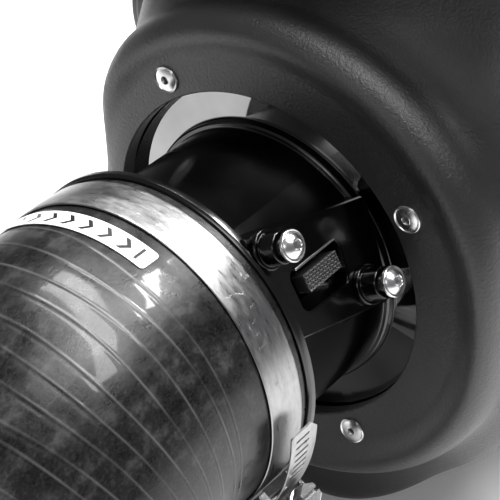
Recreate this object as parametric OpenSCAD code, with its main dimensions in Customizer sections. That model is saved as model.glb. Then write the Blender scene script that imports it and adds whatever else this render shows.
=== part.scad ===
// Engine air intake: a moulded airbox with a conical filter inside, a machined
// airflow-meter housing riveted into its front wall, and a moulded coupler hose
// held by a worm-drive clamp.
// Frame: +Z up, +Y from the hose towards the airbox, +X towards the sensor pad.
// Origin: on the base plane, below the intake axis, halfway along the airbox.

/* [Airbox] */
// Width of the airbox across the intake axis
box_w = 170; // [168:1:176]
// Length of the airbox along the intake axis
box_d = 224; // [220:1:240]
// Height of the tub from its base to the lid seam
tub_h = 250; // [244:1:260]
// Height of the intake axis above the base
axis_z = 125; // [122:1:130]
// Distance of the intake axis to the left of the middle of the airbox
port_offset = 7; // [6:1:8]
// Moulded wall thickness
wall = 4; // [3.5:0.5:4]
// Corner radius of the tub in plan
corner_r = 28; // [24:1:30]

/* [Front boss] */
// Distance from the front wall to the port face
boss_len = 23; // [22:1:24]
// Radius of the rounded crest around the port
crest_r = 84.5; // [82:0.5:86]
// Depth of the port face behind the crest
dish_depth = 5; // [4:0.5:6]
// Radius of the hole in the port face
port_r = 60.8; // [60:0.1:62]

/* [Meter housing] */
// Outside radius of the hose spigot
spigot_r = 50.8; // [50:0.1:51]
// Radius of the rim that stops the hose
rim_r = 57; // [56:0.5:58]
// Length from the rim to the port face
neck_len = 49; // [48:1:50]
// Outside radius of the meter tube
tube_r = 47.2; // [47:0.1:47.6]
// Bore radius of the meter tube
bore_r = 44; // [43.5:0.1:44.2]
// Angle of the sensor pad round the tube, from +X towards +Z
pad_angle = 30; // [26:1:34]
// Distance from the tube axis to the flat of the sensor pad
pad_d = 52; // [51.5:0.1:52.5]

/* [Hose and clamps] */
// Wall thickness of the hose
hose_wall = 5; // [4.5:0.5:5]
// Centreline radius of the hose bend
bend_r = 82; // [78:1:84]
// Straight length of hose ahead of the bend
lead_len = 28.4; // [27:0.1:30]
// Straight length of hose below the bend
leg_len = 27; // [24:1:30]
// Width of the clamp bands
band_w = 15; // [13:1:16]
// Thickness of the clamp bands
band_t = 0.7; // [0.6:0.1:0.8]

/* [Filter] */
// Length of the pleated part
media_len = 126; // [110:1:130]
// Outside radius at the open end
media_r1 = 61; // [58:1:61]
// Outside radius at the closed end
media_r2 = 45; // [42:1:48]

/* [Fresh-air inlet] */
// Outside radius of the inlet tube
inlet_r = 40; // [38:1:40]
// Length of the inlet tube outside the wall
inlet_len = 63; // [50:1:64]
// Distance of the inlet behind the middle of the airbox
inlet_y = 6; // [0:1:10]
// Height of the inlet above the intake axis
inlet_rise = 8; // [4:1:12]

/* [Hidden] */
$fn = 96;
eps = 0.01;
gap = 0.05;
slide_gap = 0.35;

// Airbox extents
box_left = port_offset - box_w / 2;
box_right = port_offset + box_w / 2;
box_front = -box_d / 2;
box_back = box_d / 2;
heel_r = 14;
bevel_x = 30;
bevel_z = 76;
lip_w = 12;
lip_t = 5;
lid_t = 4;
dome_h = 12;
dome_inset = 10;
lid_gap = 0.3;
lid_lip_t = 5;

// The intake axis: y_rim is the back face of the hose rim
y_face = box_front - boss_len;
y_rim = y_face - neck_len;
port_wall = 5;
boss_corner_r = 18;
crest_x = 4;
crest_z = 2.5;

// Lid screws, seam inserts and the seal groove
lid_screw_y = [-84, 0, 84];
screw_r = 2.45;
insert_r = 3.6;
insert_len = 12;
lug_r = 7;
lug_h = 20;
groove_in = -3.3;
groove_w = 2.6;
groove_depth = 2;
seal_h = 2.2;

lid_shank = 15;
lid_rib_x = [-40, 0, 40];
lid_rib_w = 6;
lid_rib_l = 140;
lid_rib_h = 3;

// Fresh-air inlet
inlet_wall = 3;
inlet_flange_r = inlet_r + 12;
inlet_flange_t = 4;
inlet_screw_pcd_r = inlet_r + 6;
inlet_shank = 9;
inlet_head_r = 4.6;

// Mounting ears
ear_h = 8;
ear_z = 100;
ear_reach = 18;
ear_r = 15;
ear_right_y = 66;
ear_back_x = -26;
grommet_hole_r = 9;
grommet_r = 12.5;
grommet_lip = 3;
sleeve_r = 5.5;
sleeve_bore_r = 3.3;
sleeve_flange_r = 10;
sleeve_flange_t = 1.5;

// Drain in the tub floor
drain_x = -30;
drain_y = 70;
drain_r = 8;

// Housing details, along the intake axis from the rim's back face
rim_t = 3.6;
spigot_len = 26;
spigot_bore_r = 47.8;
gasket_t = 1;
screen_t = 5;
screen_wall = 3;
grid_pitch = 12;
grid_t = 1.2;
circlip_t = 1.5;
circlip_w = 3.5;
circlip_slot = 8;
plate_r = 72;
plate_room = 0.8;
plate_room_l = 12;
plate_t = 6;
plate_y = neck_len + port_wall + gasket_t;
base_ring_r = 49.1;
base_ring_t = 3.5;
back_spigot_y = plate_y + plate_t;
back_spigot_len = 34;
rivet_pcd_r = 68;
rivet_a0 = 35;
rivet_n = 4;
rivet_head_r = 4.85;
rivet_head_h = 1.5;
rivet_spot = 0.3;
rivet_r = 2.4;
rivet_tail_h = 4;
rivet_tail_r = 3.5;
mandrel_r = 1.25;

// Sensor pad, in the pad's own frame: x out, y along the tube, z across
pad_skew = -13;
pad_u = [-10, 48];
pad_v = [-8, 26.5];
pad_root = 36;
slot_y = [8.5, 32.5];
slot_z = [-3.5, 10.5];
slot_corner = 3;
slot_ledge = 44.8;
slot_margin = 3;
insert_top = 50.6;
insert_y = 15.3;
insert_z = [0.4, 6.3];
spacer_at = [[4, 21], [37, -9]];
spacer_h = 8;
screw_hole_floor = 46.5;
spot_t = 0.4;
collar_r = 6.5;
collar_h = 2;
spacer_r = 5.2;
shank_show = 2.5;
head_r = 5.0;
head_h = 2.9;
hex_af = 3;

// Hose
hose_r = spigot_r + hose_wall;
hose_y0 = -rim_t;
bend_y = hose_y0 - lead_len;
leg_y = bend_y - bend_r;
end_z = -bend_r - leg_len;

// Label, by its start and end angle round the hose
label_a0 = 70;
label_a1 = 136;
label_y = -34.4;
label_w = 8.2;
label_t = 0.3;

// Worm clamps, in the clamp's own frame: axis z, saddle on +x
tail_stand = 5.45;
tail_w = 13;
tail_back = 14;
tail_end = 35.7;
tail_clip = 3.1;
tail_slots = 18;
slot_first = 2.6;
slot_step = 2.45;
slot_t = 0.8;
slot_len = 6.7;
slot_z0 = -2.45;
saddle_l = 16;
saddle_w = 17;
thread_r = 3.9;
roof_t = 1.7;
worm_neck_r = 2.9;
worm_collar_t = 1.4;
worm_hex_r = 4.04;
worm_slot_w = 1.2;
worm_slot_d = 2.4;
worm_head_r = 4.4;
worm_head_y = 11;
worm_head_l = 7;
rim_clamp_y = -14.4;
rim_clamp_angle = -34;
end_clamp_up = 13.5;
filter_clamp_y = 82;

// Filter
collar_t = 5;
collar_len = 30;
collar_y = 66;
shoulder_t = 8;
media_y = collar_y + collar_len + shoulder_t;
media_t = 14;
cage_t = 0.8;
cap_t = 9;

// Places
module on_axis() {
    translate([0, y_rim, axis_z]) children();
}
// Turns +X to an angle round the intake axis, from +X towards +Z
module at_angle(a) {
    rotate([0, -a, 0]) children();
}
// Lays a local Z axis along +Y
module along_y(y = 0) {
    translate([0, y, 0]) rotate([-90, 0, 0]) children();
}
module tube(h, ro, ri) {
    difference() {
        cylinder(h = h, r = ro);
        translate([0, 0, -1]) cylinder(h = h + 2, r = ri);
    }
}
// Sensor pad frame: x outwards from the tube axis
module on_pad() {
    on_axis() at_angle(pad_angle) children();
}
// Clamp frames
module at_rim_clamp() {
    on_axis() translate([0, rim_clamp_y, 0]) at_angle(rim_clamp_angle) rotate([90, 0, 0]) children();
}
module at_end_clamp() {
    on_axis() translate([0, leg_y, end_z + end_clamp_up]) rotate([0, 0, 200]) children();
}
module at_filter_clamp() {
    on_axis() translate([0, filter_clamp_y, 0]) at_angle(60) rotate([90, 0, 0]) children();
}

// Rounded rectangle in plan, grown outwards by g
module plan(g) {
    r = corner_r + g;
    x0 = box_left - g;
    y0 = box_front - g;
    w = box_w + 2 * g;
    d = box_d + 2 * g;
    translate([x0 + r, y0]) square([w - 2 * r, d]);
    translate([x0, y0 + r]) square([w, d - 2 * r]);
    for (x = [x0 + r, x0 + w - r], y = [y0 + r, y0 + d - r]) {
        translate([x, y]) circle(r);
    }
}
// Front outline: flat base, rounded left heel and a long bevel at the lower right
module front_outline(g) {
    x0 = box_left - g;
    x1 = box_right + g;
    r = heel_r + g;
    shift = 0.45 * g;
    polygon([[x0 + r, -g], [bevel_x + shift, -g], [x1, bevel_z - shift],
             [x1, tub_h + 1], [x0, tub_h + 1], [x0, -g + r]]);
    translate([x0 + r, r - g]) circle(r);
}
module shell(g, z0) {
    intersection() {
        translate([0, 0, z0]) linear_extrude(tub_h - z0) plan(g);
        translate([0, box_back + 20, 0]) rotate([90, 0, 0])
            linear_extrude(box_d + 40) front_outline(g);
    }
}
// Plan of the boss, with its two front corners rounded, shrunk by g
module boss_plan(g) {
    r = boss_corner_r - g;
    x0 = box_left + g;
    x1 = box_right - g;
    y0 = y_face - dish_depth - 1 + g;
    translate([x0, y0 + r]) square([x1 - x0, boss_len + 30]);
    translate([x0 + r, y0]) square([x1 - x0 - 2 * r, boss_len + 30]);
    for (x = [x0 + r, x1 - r]) {
        translate([x, y0 + r]) circle(r);
    }
}
// Boss round the port: its crest stands ahead of the dished port face
module boss(solid) {
    face = 0;
    crest = -dish_depth;
    profile = solid
        ? [[0, face], [crest_r - 12, face], [crest_r - 6.5, crest + 1.2], [crest_r - 2.5, crest],
           [crest_r + 0.5, crest + 1], [crest_r + 2.5, crest + 3.6], [crest_r + 3.5, crest + 8],
           [crest_r + 4.5, crest + 16], [crest_r + 9, boss_len], [crest_r + 12, boss_len + 8],
           [0, boss_len + 8]]
        : [[0, port_wall], [76, port_wall], [81, port_wall + 4], [crest_r + 4, boss_len],
           [crest_r + 6, boss_len + 10], [0, boss_len + 10]];
    side = solid ? 0 : wall;
    intersection() {
        translate([crest_x, y_face, axis_z + crest_z]) rotate([-90, 0, 0])
            rotate_extrude($fn = 128) polygon(profile);
        translate([0, 0, side + 4]) linear_extrude(tub_h - 20) boss_plan(side);
    }
}
module lid_screw_places() {
    for (x = [box_left - lip_w / 2, box_right + lip_w / 2], y = lid_screw_y) {
        translate([x, y, 0]) children();
    }
    for (y = [box_front - lip_w / 2, box_back + lip_w / 2]) {
        translate([port_offset, y, 0]) children();
    }
}
module ear_places() {
    translate([box_right + ear_reach, ear_right_y, ear_z]) children();
    translate([ear_back_x, box_back + ear_reach, ear_z]) rotate([0, 0, 90]) children();
}
module inlet_place() {
    translate([box_left, inlet_y, axis_z + inlet_rise]) rotate([0, -90, 0]) children();
}

module airbox_tub() {
    color("#232323")
    difference() {
        union() {
            difference() {
                union() {
                    shell(0, 0);
                    boss(true);
                }
                shell(-wall, wall);
                boss(false);
            }
            difference() {
                translate([0, 0, tub_h - lip_t]) linear_extrude(lip_t) plan(lip_w);
                translate([0, 0, tub_h - lip_t - 1]) linear_extrude(lip_t + 2) plan(-wall);
            }
            lid_screw_places() translate([0, 0, tub_h - lug_h]) cylinder(h = lug_h, r = lug_r - 1.2);
        }
        on_axis() along_y(neck_len - 20) cylinder(h = 40, r = port_r);
        on_axis() along_y(neck_len + port_wall) cylinder(h = plate_room_l, r = plate_r + plate_room);
        on_axis() for (i = [0:rivet_n - 1]) {
            at_angle(rivet_a0 + i * 360 / rivet_n)
                translate([rivet_pcd_r, 0, 0]) along_y(neck_len) rivet_seat();
        }
        lid_screw_places() translate([0, 0, tub_h - insert_len - 3])
            cylinder(h = insert_len + 4, r = insert_r);
        translate([0, 0, tub_h - groove_depth]) difference() {
            linear_extrude(groove_depth + 1) plan(groove_in + groove_w);
            translate([0, 0, -1]) linear_extrude(groove_depth + 3) plan(groove_in);
        }
        inlet_place() translate([0, 0, -wall - 1]) cylinder(h = wall + 2, r = inlet_r - 2.5);
        inlet_place() inlet_screw_places() translate([0, 0, -wall - 1])
            cylinder(h = wall + 2, r = screw_r + gap);
        translate([drain_x, drain_y, -1]) cylinder(h = wall + 2, r = drain_r);
    }
}
// Hole for a rivet's shank with a spot face for its head; z = 0 is the dished face
module rivet_seat() {
    head_r = rivet_head_r + slide_gap;
    rotate_extrude() polygon([
        [0, -dish_depth - 2], [head_r, -dish_depth - 2], [head_r, rivet_spot],
        [rivet_r + gap, rivet_spot], [rivet_r + gap, port_wall + 1], [0, port_wall + 1]]);
}
module lid_seal() {
    color("#101010")
    translate([0, 0, tub_h - groove_depth]) linear_extrude(seal_h) difference() {
        plan(groove_in + groove_w - gap);
        plan(groove_in + gap);
    }
}
module lid_inserts() {
    color("#b08d4a")
    lid_screw_places() translate([0, 0, tub_h - insert_len])
        tube(insert_len, insert_r, screw_r + gap);
}
module airbox_lid() {
    color("#262626")
    difference() {
        union() {
            translate([0, 0, tub_h + lid_gap]) linear_extrude(lid_lip_t) plan(lip_w);
            translate([0, 0, tub_h + lid_gap]) linear_extrude(dome_h) plan(-dome_inset);
            for (x = lid_rib_x) {
                translate([port_offset + x - lid_rib_w / 2, -lid_rib_l / 2,
                           tub_h + lid_gap + dome_h - 1]) cube([lid_rib_w, lid_rib_l, lid_rib_h]);
            }
        }
        translate([0, 0, tub_h - 1]) linear_extrude(dome_h - lid_t + 1) plan(-dome_inset - lid_t);
        lid_screw_places() translate([0, 0, tub_h - 1]) cylinder(h = 10, r = screw_r + 0.4);
    }
}
// Button-head screw standing on z = 0, head up, shank down
module button_screw(shank, head, height, af) {
    cap_r = (head * head + height * height) / (2 * height);
    difference() {
        union() {
            intersection() {
                translate([0, 0, height - cap_r]) sphere(cap_r);
                cylinder(h = height, r = head);
            }
            translate([0, 0, -shank]) cylinder(h = shank + eps, r = screw_r);
        }
        translate([0, 0, height - 1.9]) cylinder(h = 3, r = af / sqrt(3), $fn = 6);
    }
}
module lid_screws() {
    color("#d8d8d8")
    lid_screw_places() translate([0, 0, tub_h + lid_gap + lid_lip_t])
        button_screw(lid_shank, head_r, head_h, hex_af);
}
module inlet_screw_places() {
    for (a = [45:90:315]) {
        rotate([0, 0, a]) translate([inlet_screw_pcd_r, 0, 0]) children();
    }
}
module inlet_stub() {
    color("#1c1c1c")
    inlet_place() difference() {
        union() {
            cylinder(h = inlet_flange_t, r = inlet_flange_r);
            cylinder(h = inlet_len, r = inlet_r);
        }
        translate([0, 0, -1]) cylinder(h = inlet_len + 2, r = inlet_r - inlet_wall);
        inlet_screw_places() translate([0, 0, -1]) cylinder(h = inlet_flange_t + 2, r = screw_r + 0.3);
    }
}
module inlet_screws() {
    color("#d8d8d8")
    inlet_place() inlet_screw_places() translate([0, 0, inlet_flange_t])
        button_screw(inlet_shank, inlet_head_r, head_h, hex_af);
}
// Ears moulded on the outside of the wall
module mount_ears() {
    color("#232323")
    ear_places() difference() {
        union() {
            cylinder(h = ear_h, r = ear_r);
            translate([-ear_reach, -ear_r, 0]) cube([ear_reach, 2 * ear_r, ear_h]);
        }
        translate([0, 0, -1]) cylinder(h = ear_h + 2, r = grommet_hole_r);
    }
}
module ear_grommets() {
    color("#141414")
    ear_places() rotate_extrude() polygon([
        [sleeve_r, -grommet_lip], [grommet_r, -grommet_lip], [grommet_r, 0], [grommet_hole_r, 0],
        [grommet_hole_r, ear_h], [grommet_r, ear_h], [grommet_r, ear_h + grommet_lip],
        [sleeve_r, ear_h + grommet_lip]]);
}
module ear_sleeves() {
    color("#c9c9c9")
    ear_places() translate([0, 0, -grommet_lip]) {
        difference() {
            union() {
                cylinder(h = ear_h + 2 * grommet_lip + sleeve_flange_t, r = sleeve_r);
                translate([0, 0, ear_h + 2 * grommet_lip])
                    cylinder(h = sleeve_flange_t, r = sleeve_flange_r);
            }
            translate([0, 0, -1]) cylinder(h = 30, r = sleeve_bore_r);
        }
    }
}
module drain_grommet() {
    color("#141414")
    translate([drain_x, drain_y, 0]) rotate_extrude() polygon([
        [3, 0.5], [drain_r, 0.5], [drain_r, wall], [drain_r + 3, wall], [drain_r + 3, wall + 2.5],
        [3, wall + 2.5]]);
}

module meter_housing() {
    color("#0c0c0c")
    difference() {
        union() {
            on_axis() along_y() rotate_extrude($fn = 128) polygon([
                [spigot_bore_r, -rim_t - spigot_len], [spigot_r - 1, -rim_t - spigot_len],
                [spigot_r, -rim_t - spigot_len + 1], [spigot_r, -rim_t],
                [rim_r - 0.8, -rim_t], [rim_r, -rim_t + 0.8], [rim_r, -0.8], [rim_r - 0.8, 0],
                [tube_r, 0], [tube_r, plate_y - base_ring_t], [base_ring_r - 0.6, plate_y - base_ring_t],
                [base_ring_r, plate_y - base_ring_t + 0.6], [base_ring_r, plate_y],
                [plate_r, plate_y], [plate_r, back_spigot_y], [spigot_r, back_spigot_y],
                [spigot_r, back_spigot_y + back_spigot_len - 1],
                [spigot_r - 1, back_spigot_y + back_spigot_len],
                [spigot_bore_r, back_spigot_y + back_spigot_len], [spigot_bore_r, back_spigot_y + 4],
                [bore_r, back_spigot_y], [bore_r, -rim_t - 2], [spigot_bore_r, -rim_t - 8]]);
            on_pad() intersection() {
                rotate([pad_skew, 0, 0]) translate([pad_root, pad_u[0], pad_v[0]])
                    cube([pad_d - pad_root, pad_u[1] - pad_u[0], pad_v[1] - pad_v[0]]);
                translate([0, -rim_t / 2, -40]) cube([80, plate_y, 80]);
            }
        }
        on_axis() along_y(-rim_t) cylinder(h = plate_y + rim_t, r = bore_r);
        on_pad() slot_cut(0, slot_ledge, pad_d + 1);
        on_pad() slot_cut(slot_margin, bore_r - 12, slot_ledge + 1);
        on_pad() for (p = spacer_at) {
            translate([screw_hole_floor, p[0], p[1]]) rotate([0, 90, 0])
                cylinder(h = 10, r = screw_r + gap);
            translate([pad_d - spot_t, p[0], p[1]]) rotate([0, 90, 0])
                cylinder(h = spacer_h, r = collar_r + slide_gap);
        }
        on_axis() for (i = [0:rivet_n - 1]) {
            at_angle(rivet_a0 + i * 360 / rivet_n)
                translate([rivet_pcd_r, 0, 0]) along_y(plate_y - 1)
                    cylinder(h = plate_t + 2, r = rivet_r + gap);
        }
    }
}
// Round-cornered slot through the pad, shrunk by m, from x0 to x1
module slot_cut(m, x0, x1) {
    r = slot_corner;
    y0 = slot_y[0] + m;
    y1 = slot_y[1] - m;
    z0 = slot_z[0] + m / 2;
    z1 = slot_z[1] - m / 2;
    translate([x0, y0 + r, z0]) cube([x1 - x0, y1 - y0 - 2 * r, z1 - z0]);
    translate([x0, y0, z0 + r]) cube([x1 - x0, y1 - y0, z1 - z0 - 2 * r]);
    for (y = [y0 + r, y1 - r], z = [z0 + r, z1 - r]) {
        translate([x0, y, z]) rotate([0, 90, 0]) cylinder(h = x1 - x0, r = r, $fn = 48);
    }
}
module port_gasket() {
    color("#0a0a0a")
    on_axis() difference() {
        along_y(neck_len + port_wall) tube(gasket_t, plate_r, port_r + 0.4);
        for (i = [0:rivet_n - 1]) {
            at_angle(rivet_a0 + i * 360 / rivet_n)
                translate([rivet_pcd_r, 0, 0]) along_y(neck_len + port_wall - 1)
                    cylinder(h = gasket_t + 2, r = rivet_r + gap);
        }
    }
}
module face_rivets() {
    color("#d0d0d0")
    on_axis() for (i = [0:rivet_n - 1]) {
        at_angle(rivet_a0 + i * 360 / rivet_n)
            translate([rivet_pcd_r, neck_len + rivet_spot, 0]) rotate([90, 0, 0]) blind_rivet();
    }
}
module blind_rivet() {
    cap_r = (rivet_head_r * rivet_head_r + rivet_head_h * rivet_head_h) / (2 * rivet_head_h);
    grip = port_wall - rivet_spot + gasket_t + plate_t;
    difference() {
        union() {
            intersection() {
                translate([0, 0, rivet_head_h - cap_r]) sphere(cap_r);
                cylinder(h = rivet_head_h, r = rivet_head_r);
            }
            translate([0, 0, -grip - rivet_tail_h]) {
                cylinder(h = grip + rivet_tail_h + eps, r = rivet_r);
                cylinder(h = rivet_tail_h, r = rivet_tail_r);
            }
        }
        translate([0, 0, -2]) cylinder(h = 6, r = mandrel_r, $fn = 32);
    }
}
module flow_screen() {
    color("#6f6f6f")
    on_axis() along_y(back_spigot_y + 5) {
        tube(screen_t, spigot_bore_r - gap, spigot_bore_r - screen_wall);
        intersection() {
            cylinder(h = screen_t, r = spigot_bore_r - 2);
            for (k = [-3:3], a = [0, 90]) {
                rotate([0, 0, a]) translate([grid_pitch * k - grid_t / 2, -bore_r - 6, 0])
                    cube([grid_t, 2 * bore_r + 12, screen_t]);
            }
        }
    }
}
module screen_circlip() {
    color("#8a8a8a")
    on_axis() along_y(back_spigot_y + 5.2 + screen_t) difference() {
        tube(circlip_t, spigot_bore_r - gap, spigot_bore_r - circlip_w);
        translate([0, -circlip_slot / 2, -1]) cube([plate_r, circlip_slot, circlip_t + 2]);
    }
}
// Woven insert that stands on the ledge at the far end of the sensor slot
module slot_screen() {
    color("#3c3c3c")
    on_pad() intersection() {
        slot_cut(gap, slot_ledge, insert_top);
        translate([slot_ledge - 1, insert_y, insert_z[0]])
            cube([20, 40, insert_z[1] - insert_z[0]]);
    }
}
module sensor_spacers() {
    color("#0b0b0b")
    on_pad() for (p = spacer_at) {
        translate([pad_d, p[0], p[1]]) rotate([0, 90, 0]) rotate_extrude() polygon([
            [screw_r + 2 * gap, -spot_t], [collar_r, -spot_t], [collar_r, collar_h - 0.5],
            [collar_r - 0.5, collar_h], [spacer_r, collar_h], [spacer_r, spacer_h - 0.8],
            [spacer_r - 0.8, spacer_h], [screw_r + 2 * gap, spacer_h]]);
    }
}
module sensor_screws() {
    color("#dcdcdc")
    on_pad() for (p = spacer_at) {
        translate([pad_d + spacer_h + shank_show, p[0], p[1]]) rotate([0, 90, 0])
            button_screw(spacer_h + shank_show + 5, head_r, head_h, hex_af);
    }
}

// Moulded elbow: a straight lead over the spigot, then a quarter bend
module hose_bend() {
    color("#1a1a1a")
    on_axis() {
        along_y(bend_y) tube(lead_len, hose_r, spigot_r);
        translate([0, bend_y, -bend_r]) rotate([180, -90, 0])
            rotate_extrude(angle = 90, $fn = 128) translate([bend_r, 0]) difference() {
                circle(hose_r);
                circle(spigot_r);
            }
    }
}
// The same moulding carries on as a straight leg
module hose_leg() {
    color("#1a1a1a")
    on_axis() translate([0, leg_y, end_z]) tube(leg_len, hose_r, spigot_r);
}
// Thin label wrapped round the hose just below the clamp
module hose_label() {
    color("#f2f2f2")
    on_axis() at_angle(label_a1) along_y(label_y)
        rotate_extrude(angle = label_a1 - label_a0, $fn = 128)
            translate([hose_r + gap, 0]) square([label_t, label_w]);
}

module clamp_band(r) {
    translate([0, 0, -band_w / 2]) tube(band_w, r + gap + band_t, r + gap);
}
// Inner radius of the band's free end
function tail_r(r) = r + gap + band_t + tail_stand;
// Distance of the screw's axis from the clamp's axis
function worm_x(r) = tail_r(r) + band_t + slide_gap + thread_r;
// Free end of the band: it runs through the saddle, standing off the band
module clamp_tail(r) {
    ri = tail_r(r);
    difference() {
        rotate([0, 0, -tail_back]) rotate_extrude(angle = tail_back + tail_end)
            translate([ri, -tail_w / 2]) square([band_t, tail_w]);
        for (k = [0:tail_slots - 1]) {
            rotate([0, 0, tail_end - slot_first - slot_step * k])
                translate([ri - 1, -slot_t / 2, slot_z0]) cube([band_t + 2, slot_t, slot_len]);
        }
        rotate([0, 0, tail_end]) translate([ri + band_t / 2, 0, -tail_w / 2]) rotate([45, 0, 0])
            cube([3 * band_t, tail_clip * sqrt(2), tail_clip * sqrt(2)], center = true);
    }
}
module clamp_saddle(r) {
    ro = r + gap + band_t;
    ri = tail_r(r);
    screw_x = worm_x(r);
    roof_r = thread_r + roof_t;
    difference() {
        union() {
            translate([screw_x, -saddle_l / 2, 0]) along_y() cylinder(h = saddle_l, r = roof_r);
            translate([ro - 4, -saddle_l / 2, -saddle_w / 2])
                cube([screw_x - ro + 4, saddle_l, saddle_w]);
        }
        translate([0, 0, -saddle_w]) cylinder(h = 2 * saddle_w, r = ro + gap);
        translate([0, 0, -tail_w / 2 - slide_gap])
            tube(tail_w + 2 * slide_gap, ri + band_t + slide_gap, ri - slide_gap);
        translate([screw_x, -saddle_l, 0]) along_y() cylinder(h = 2 * saddle_l, r = thread_r + gap);
    }
}
module clamp_screw(r) {
    translate([worm_x(r), 0, 0]) difference() {
        union() {
            along_y(-saddle_l / 2 - 2) cylinder(h = saddle_l + 4, r = thread_r);
            along_y(saddle_l / 2) cylinder(h = worm_head_y - saddle_l / 2 + eps, r = worm_neck_r);
            along_y(worm_head_y) cylinder(h = worm_collar_t, r = worm_head_r);
            along_y(worm_head_y + worm_collar_t)
                cylinder(h = worm_head_l - worm_collar_t, r = worm_hex_r, $fn = 6);
        }
        translate([-worm_slot_w / 2, worm_head_y + worm_head_l - worm_slot_d, -6])
            cube([worm_slot_w, worm_slot_d + 1, 12]);
    }
}
module rim_clamp_band() {
    color("#c4c4c4") at_rim_clamp() clamp_band(hose_r);
}
module rim_clamp_tail() {
    color("#cfcfcf") at_rim_clamp() clamp_tail(hose_r);
}
module rim_clamp_saddle() {
    color("#bdbdbd") at_rim_clamp() clamp_saddle(hose_r);
}
module rim_clamp_screw() {
    color("#d9d9d9") at_rim_clamp() clamp_screw(hose_r);
}
module end_clamp_band() {
    color("#c4c4c4") at_end_clamp() clamp_band(hose_r);
}
module end_clamp_tail() {
    color("#cfcfcf") at_end_clamp() clamp_tail(hose_r);
}
module end_clamp_saddle() {
    color("#bdbdbd") at_end_clamp() clamp_saddle(hose_r);
}
module end_clamp_screw() {
    color("#d9d9d9") at_end_clamp() clamp_screw(hose_r);
}

module filter_collar() {
    color("#2a2a2a")
    on_axis() along_y() rotate_extrude() polygon([
        [spigot_r + gap, collar_y], [spigot_r + collar_t, collar_y],
        [spigot_r + collar_t, collar_y + collar_len], [media_r1 + 3, collar_y + collar_len],
        [media_r1 + 3, media_y], [media_r1 - media_t - 1, media_y],
        [media_r1 - media_t - 1, collar_y + collar_len + 2],
        [spigot_r + gap, collar_y + collar_len + 2]]);
}
module filter_media() {
    color("#9a9a92")
    on_axis() along_y(media_y) difference() {
        cylinder(h = media_len, r1 = media_r1, r2 = media_r2);
        translate([0, 0, -eps])
            cylinder(h = media_len + 2 * eps, r1 = media_r1 - media_t, r2 = media_r2 - media_t);
    }
}
module filter_cage() {
    color("#b5b5b5")
    on_axis() along_y(media_y) difference() {
        cylinder(h = media_len, r1 = media_r1 + cage_t + gap, r2 = media_r2 + cage_t + gap);
        translate([0, 0, -eps])
            cylinder(h = media_len + 2 * eps, r1 = media_r1 + gap, r2 = media_r2 + gap);
    }
}
module filter_cap() {
    color("#2a2a2a")
    on_axis() along_y(media_y + media_len) rotate_extrude() polygon([
        [0, 0], [media_r2 + 3, 0], [media_r2 + 3, cap_t - 3], [media_r2, cap_t], [0, cap_t]]);
}
module filter_clamp_band() {
    color("#c4c4c4") at_filter_clamp() clamp_band(spigot_r + collar_t);
}
module filter_clamp_tail() {
    color("#cfcfcf") at_filter_clamp() clamp_tail(spigot_r + collar_t);
}
module filter_clamp_saddle() {
    color("#bdbdbd") at_filter_clamp() clamp_saddle(spigot_r + collar_t);
}
module filter_clamp_screw() {
    color("#d9d9d9") at_filter_clamp() clamp_screw(spigot_r + collar_t);
}

airbox_tub();
lid_seal();
lid_inserts();
airbox_lid();
lid_screws();
inlet_stub();
inlet_screws();
mount_ears();
ear_grommets();
ear_sleeves();
drain_grommet();
meter_housing();
port_gasket();
face_rivets();
flow_screen();
screen_circlip();
slot_screen();
sensor_spacers();
sensor_screws();
hose_bend();
hose_leg();
hose_label();
rim_clamp_band();
rim_clamp_tail();
rim_clamp_saddle();
rim_clamp_screw();
end_clamp_band();
end_clamp_tail();
end_clamp_saddle();
end_clamp_screw();
filter_collar();
filter_media();
filter_cage();
filter_cap();
filter_clamp_band();
filter_clamp_tail();
filter_clamp_saddle();
filter_clamp_screw();
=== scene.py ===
"""Looks of the engine air intake: airbox, airflow-meter housing and coupler hose."""
import math
import random

import bmesh
import bpy
import numpy as np
import openvdb
from mathutils import Matrix, Vector


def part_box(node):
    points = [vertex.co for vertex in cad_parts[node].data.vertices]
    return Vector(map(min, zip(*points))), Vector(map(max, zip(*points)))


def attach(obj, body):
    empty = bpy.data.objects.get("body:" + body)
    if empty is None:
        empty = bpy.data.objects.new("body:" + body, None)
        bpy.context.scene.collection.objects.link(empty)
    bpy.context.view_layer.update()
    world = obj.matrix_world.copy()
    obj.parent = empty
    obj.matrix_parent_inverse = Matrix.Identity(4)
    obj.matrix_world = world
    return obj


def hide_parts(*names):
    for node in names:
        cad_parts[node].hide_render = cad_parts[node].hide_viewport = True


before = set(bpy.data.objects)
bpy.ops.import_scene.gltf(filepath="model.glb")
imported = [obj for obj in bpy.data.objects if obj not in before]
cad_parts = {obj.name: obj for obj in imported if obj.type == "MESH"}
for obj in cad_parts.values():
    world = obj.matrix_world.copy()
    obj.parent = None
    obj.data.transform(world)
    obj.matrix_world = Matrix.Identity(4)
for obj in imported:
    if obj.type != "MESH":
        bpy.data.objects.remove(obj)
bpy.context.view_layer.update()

MM = 0.001

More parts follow.
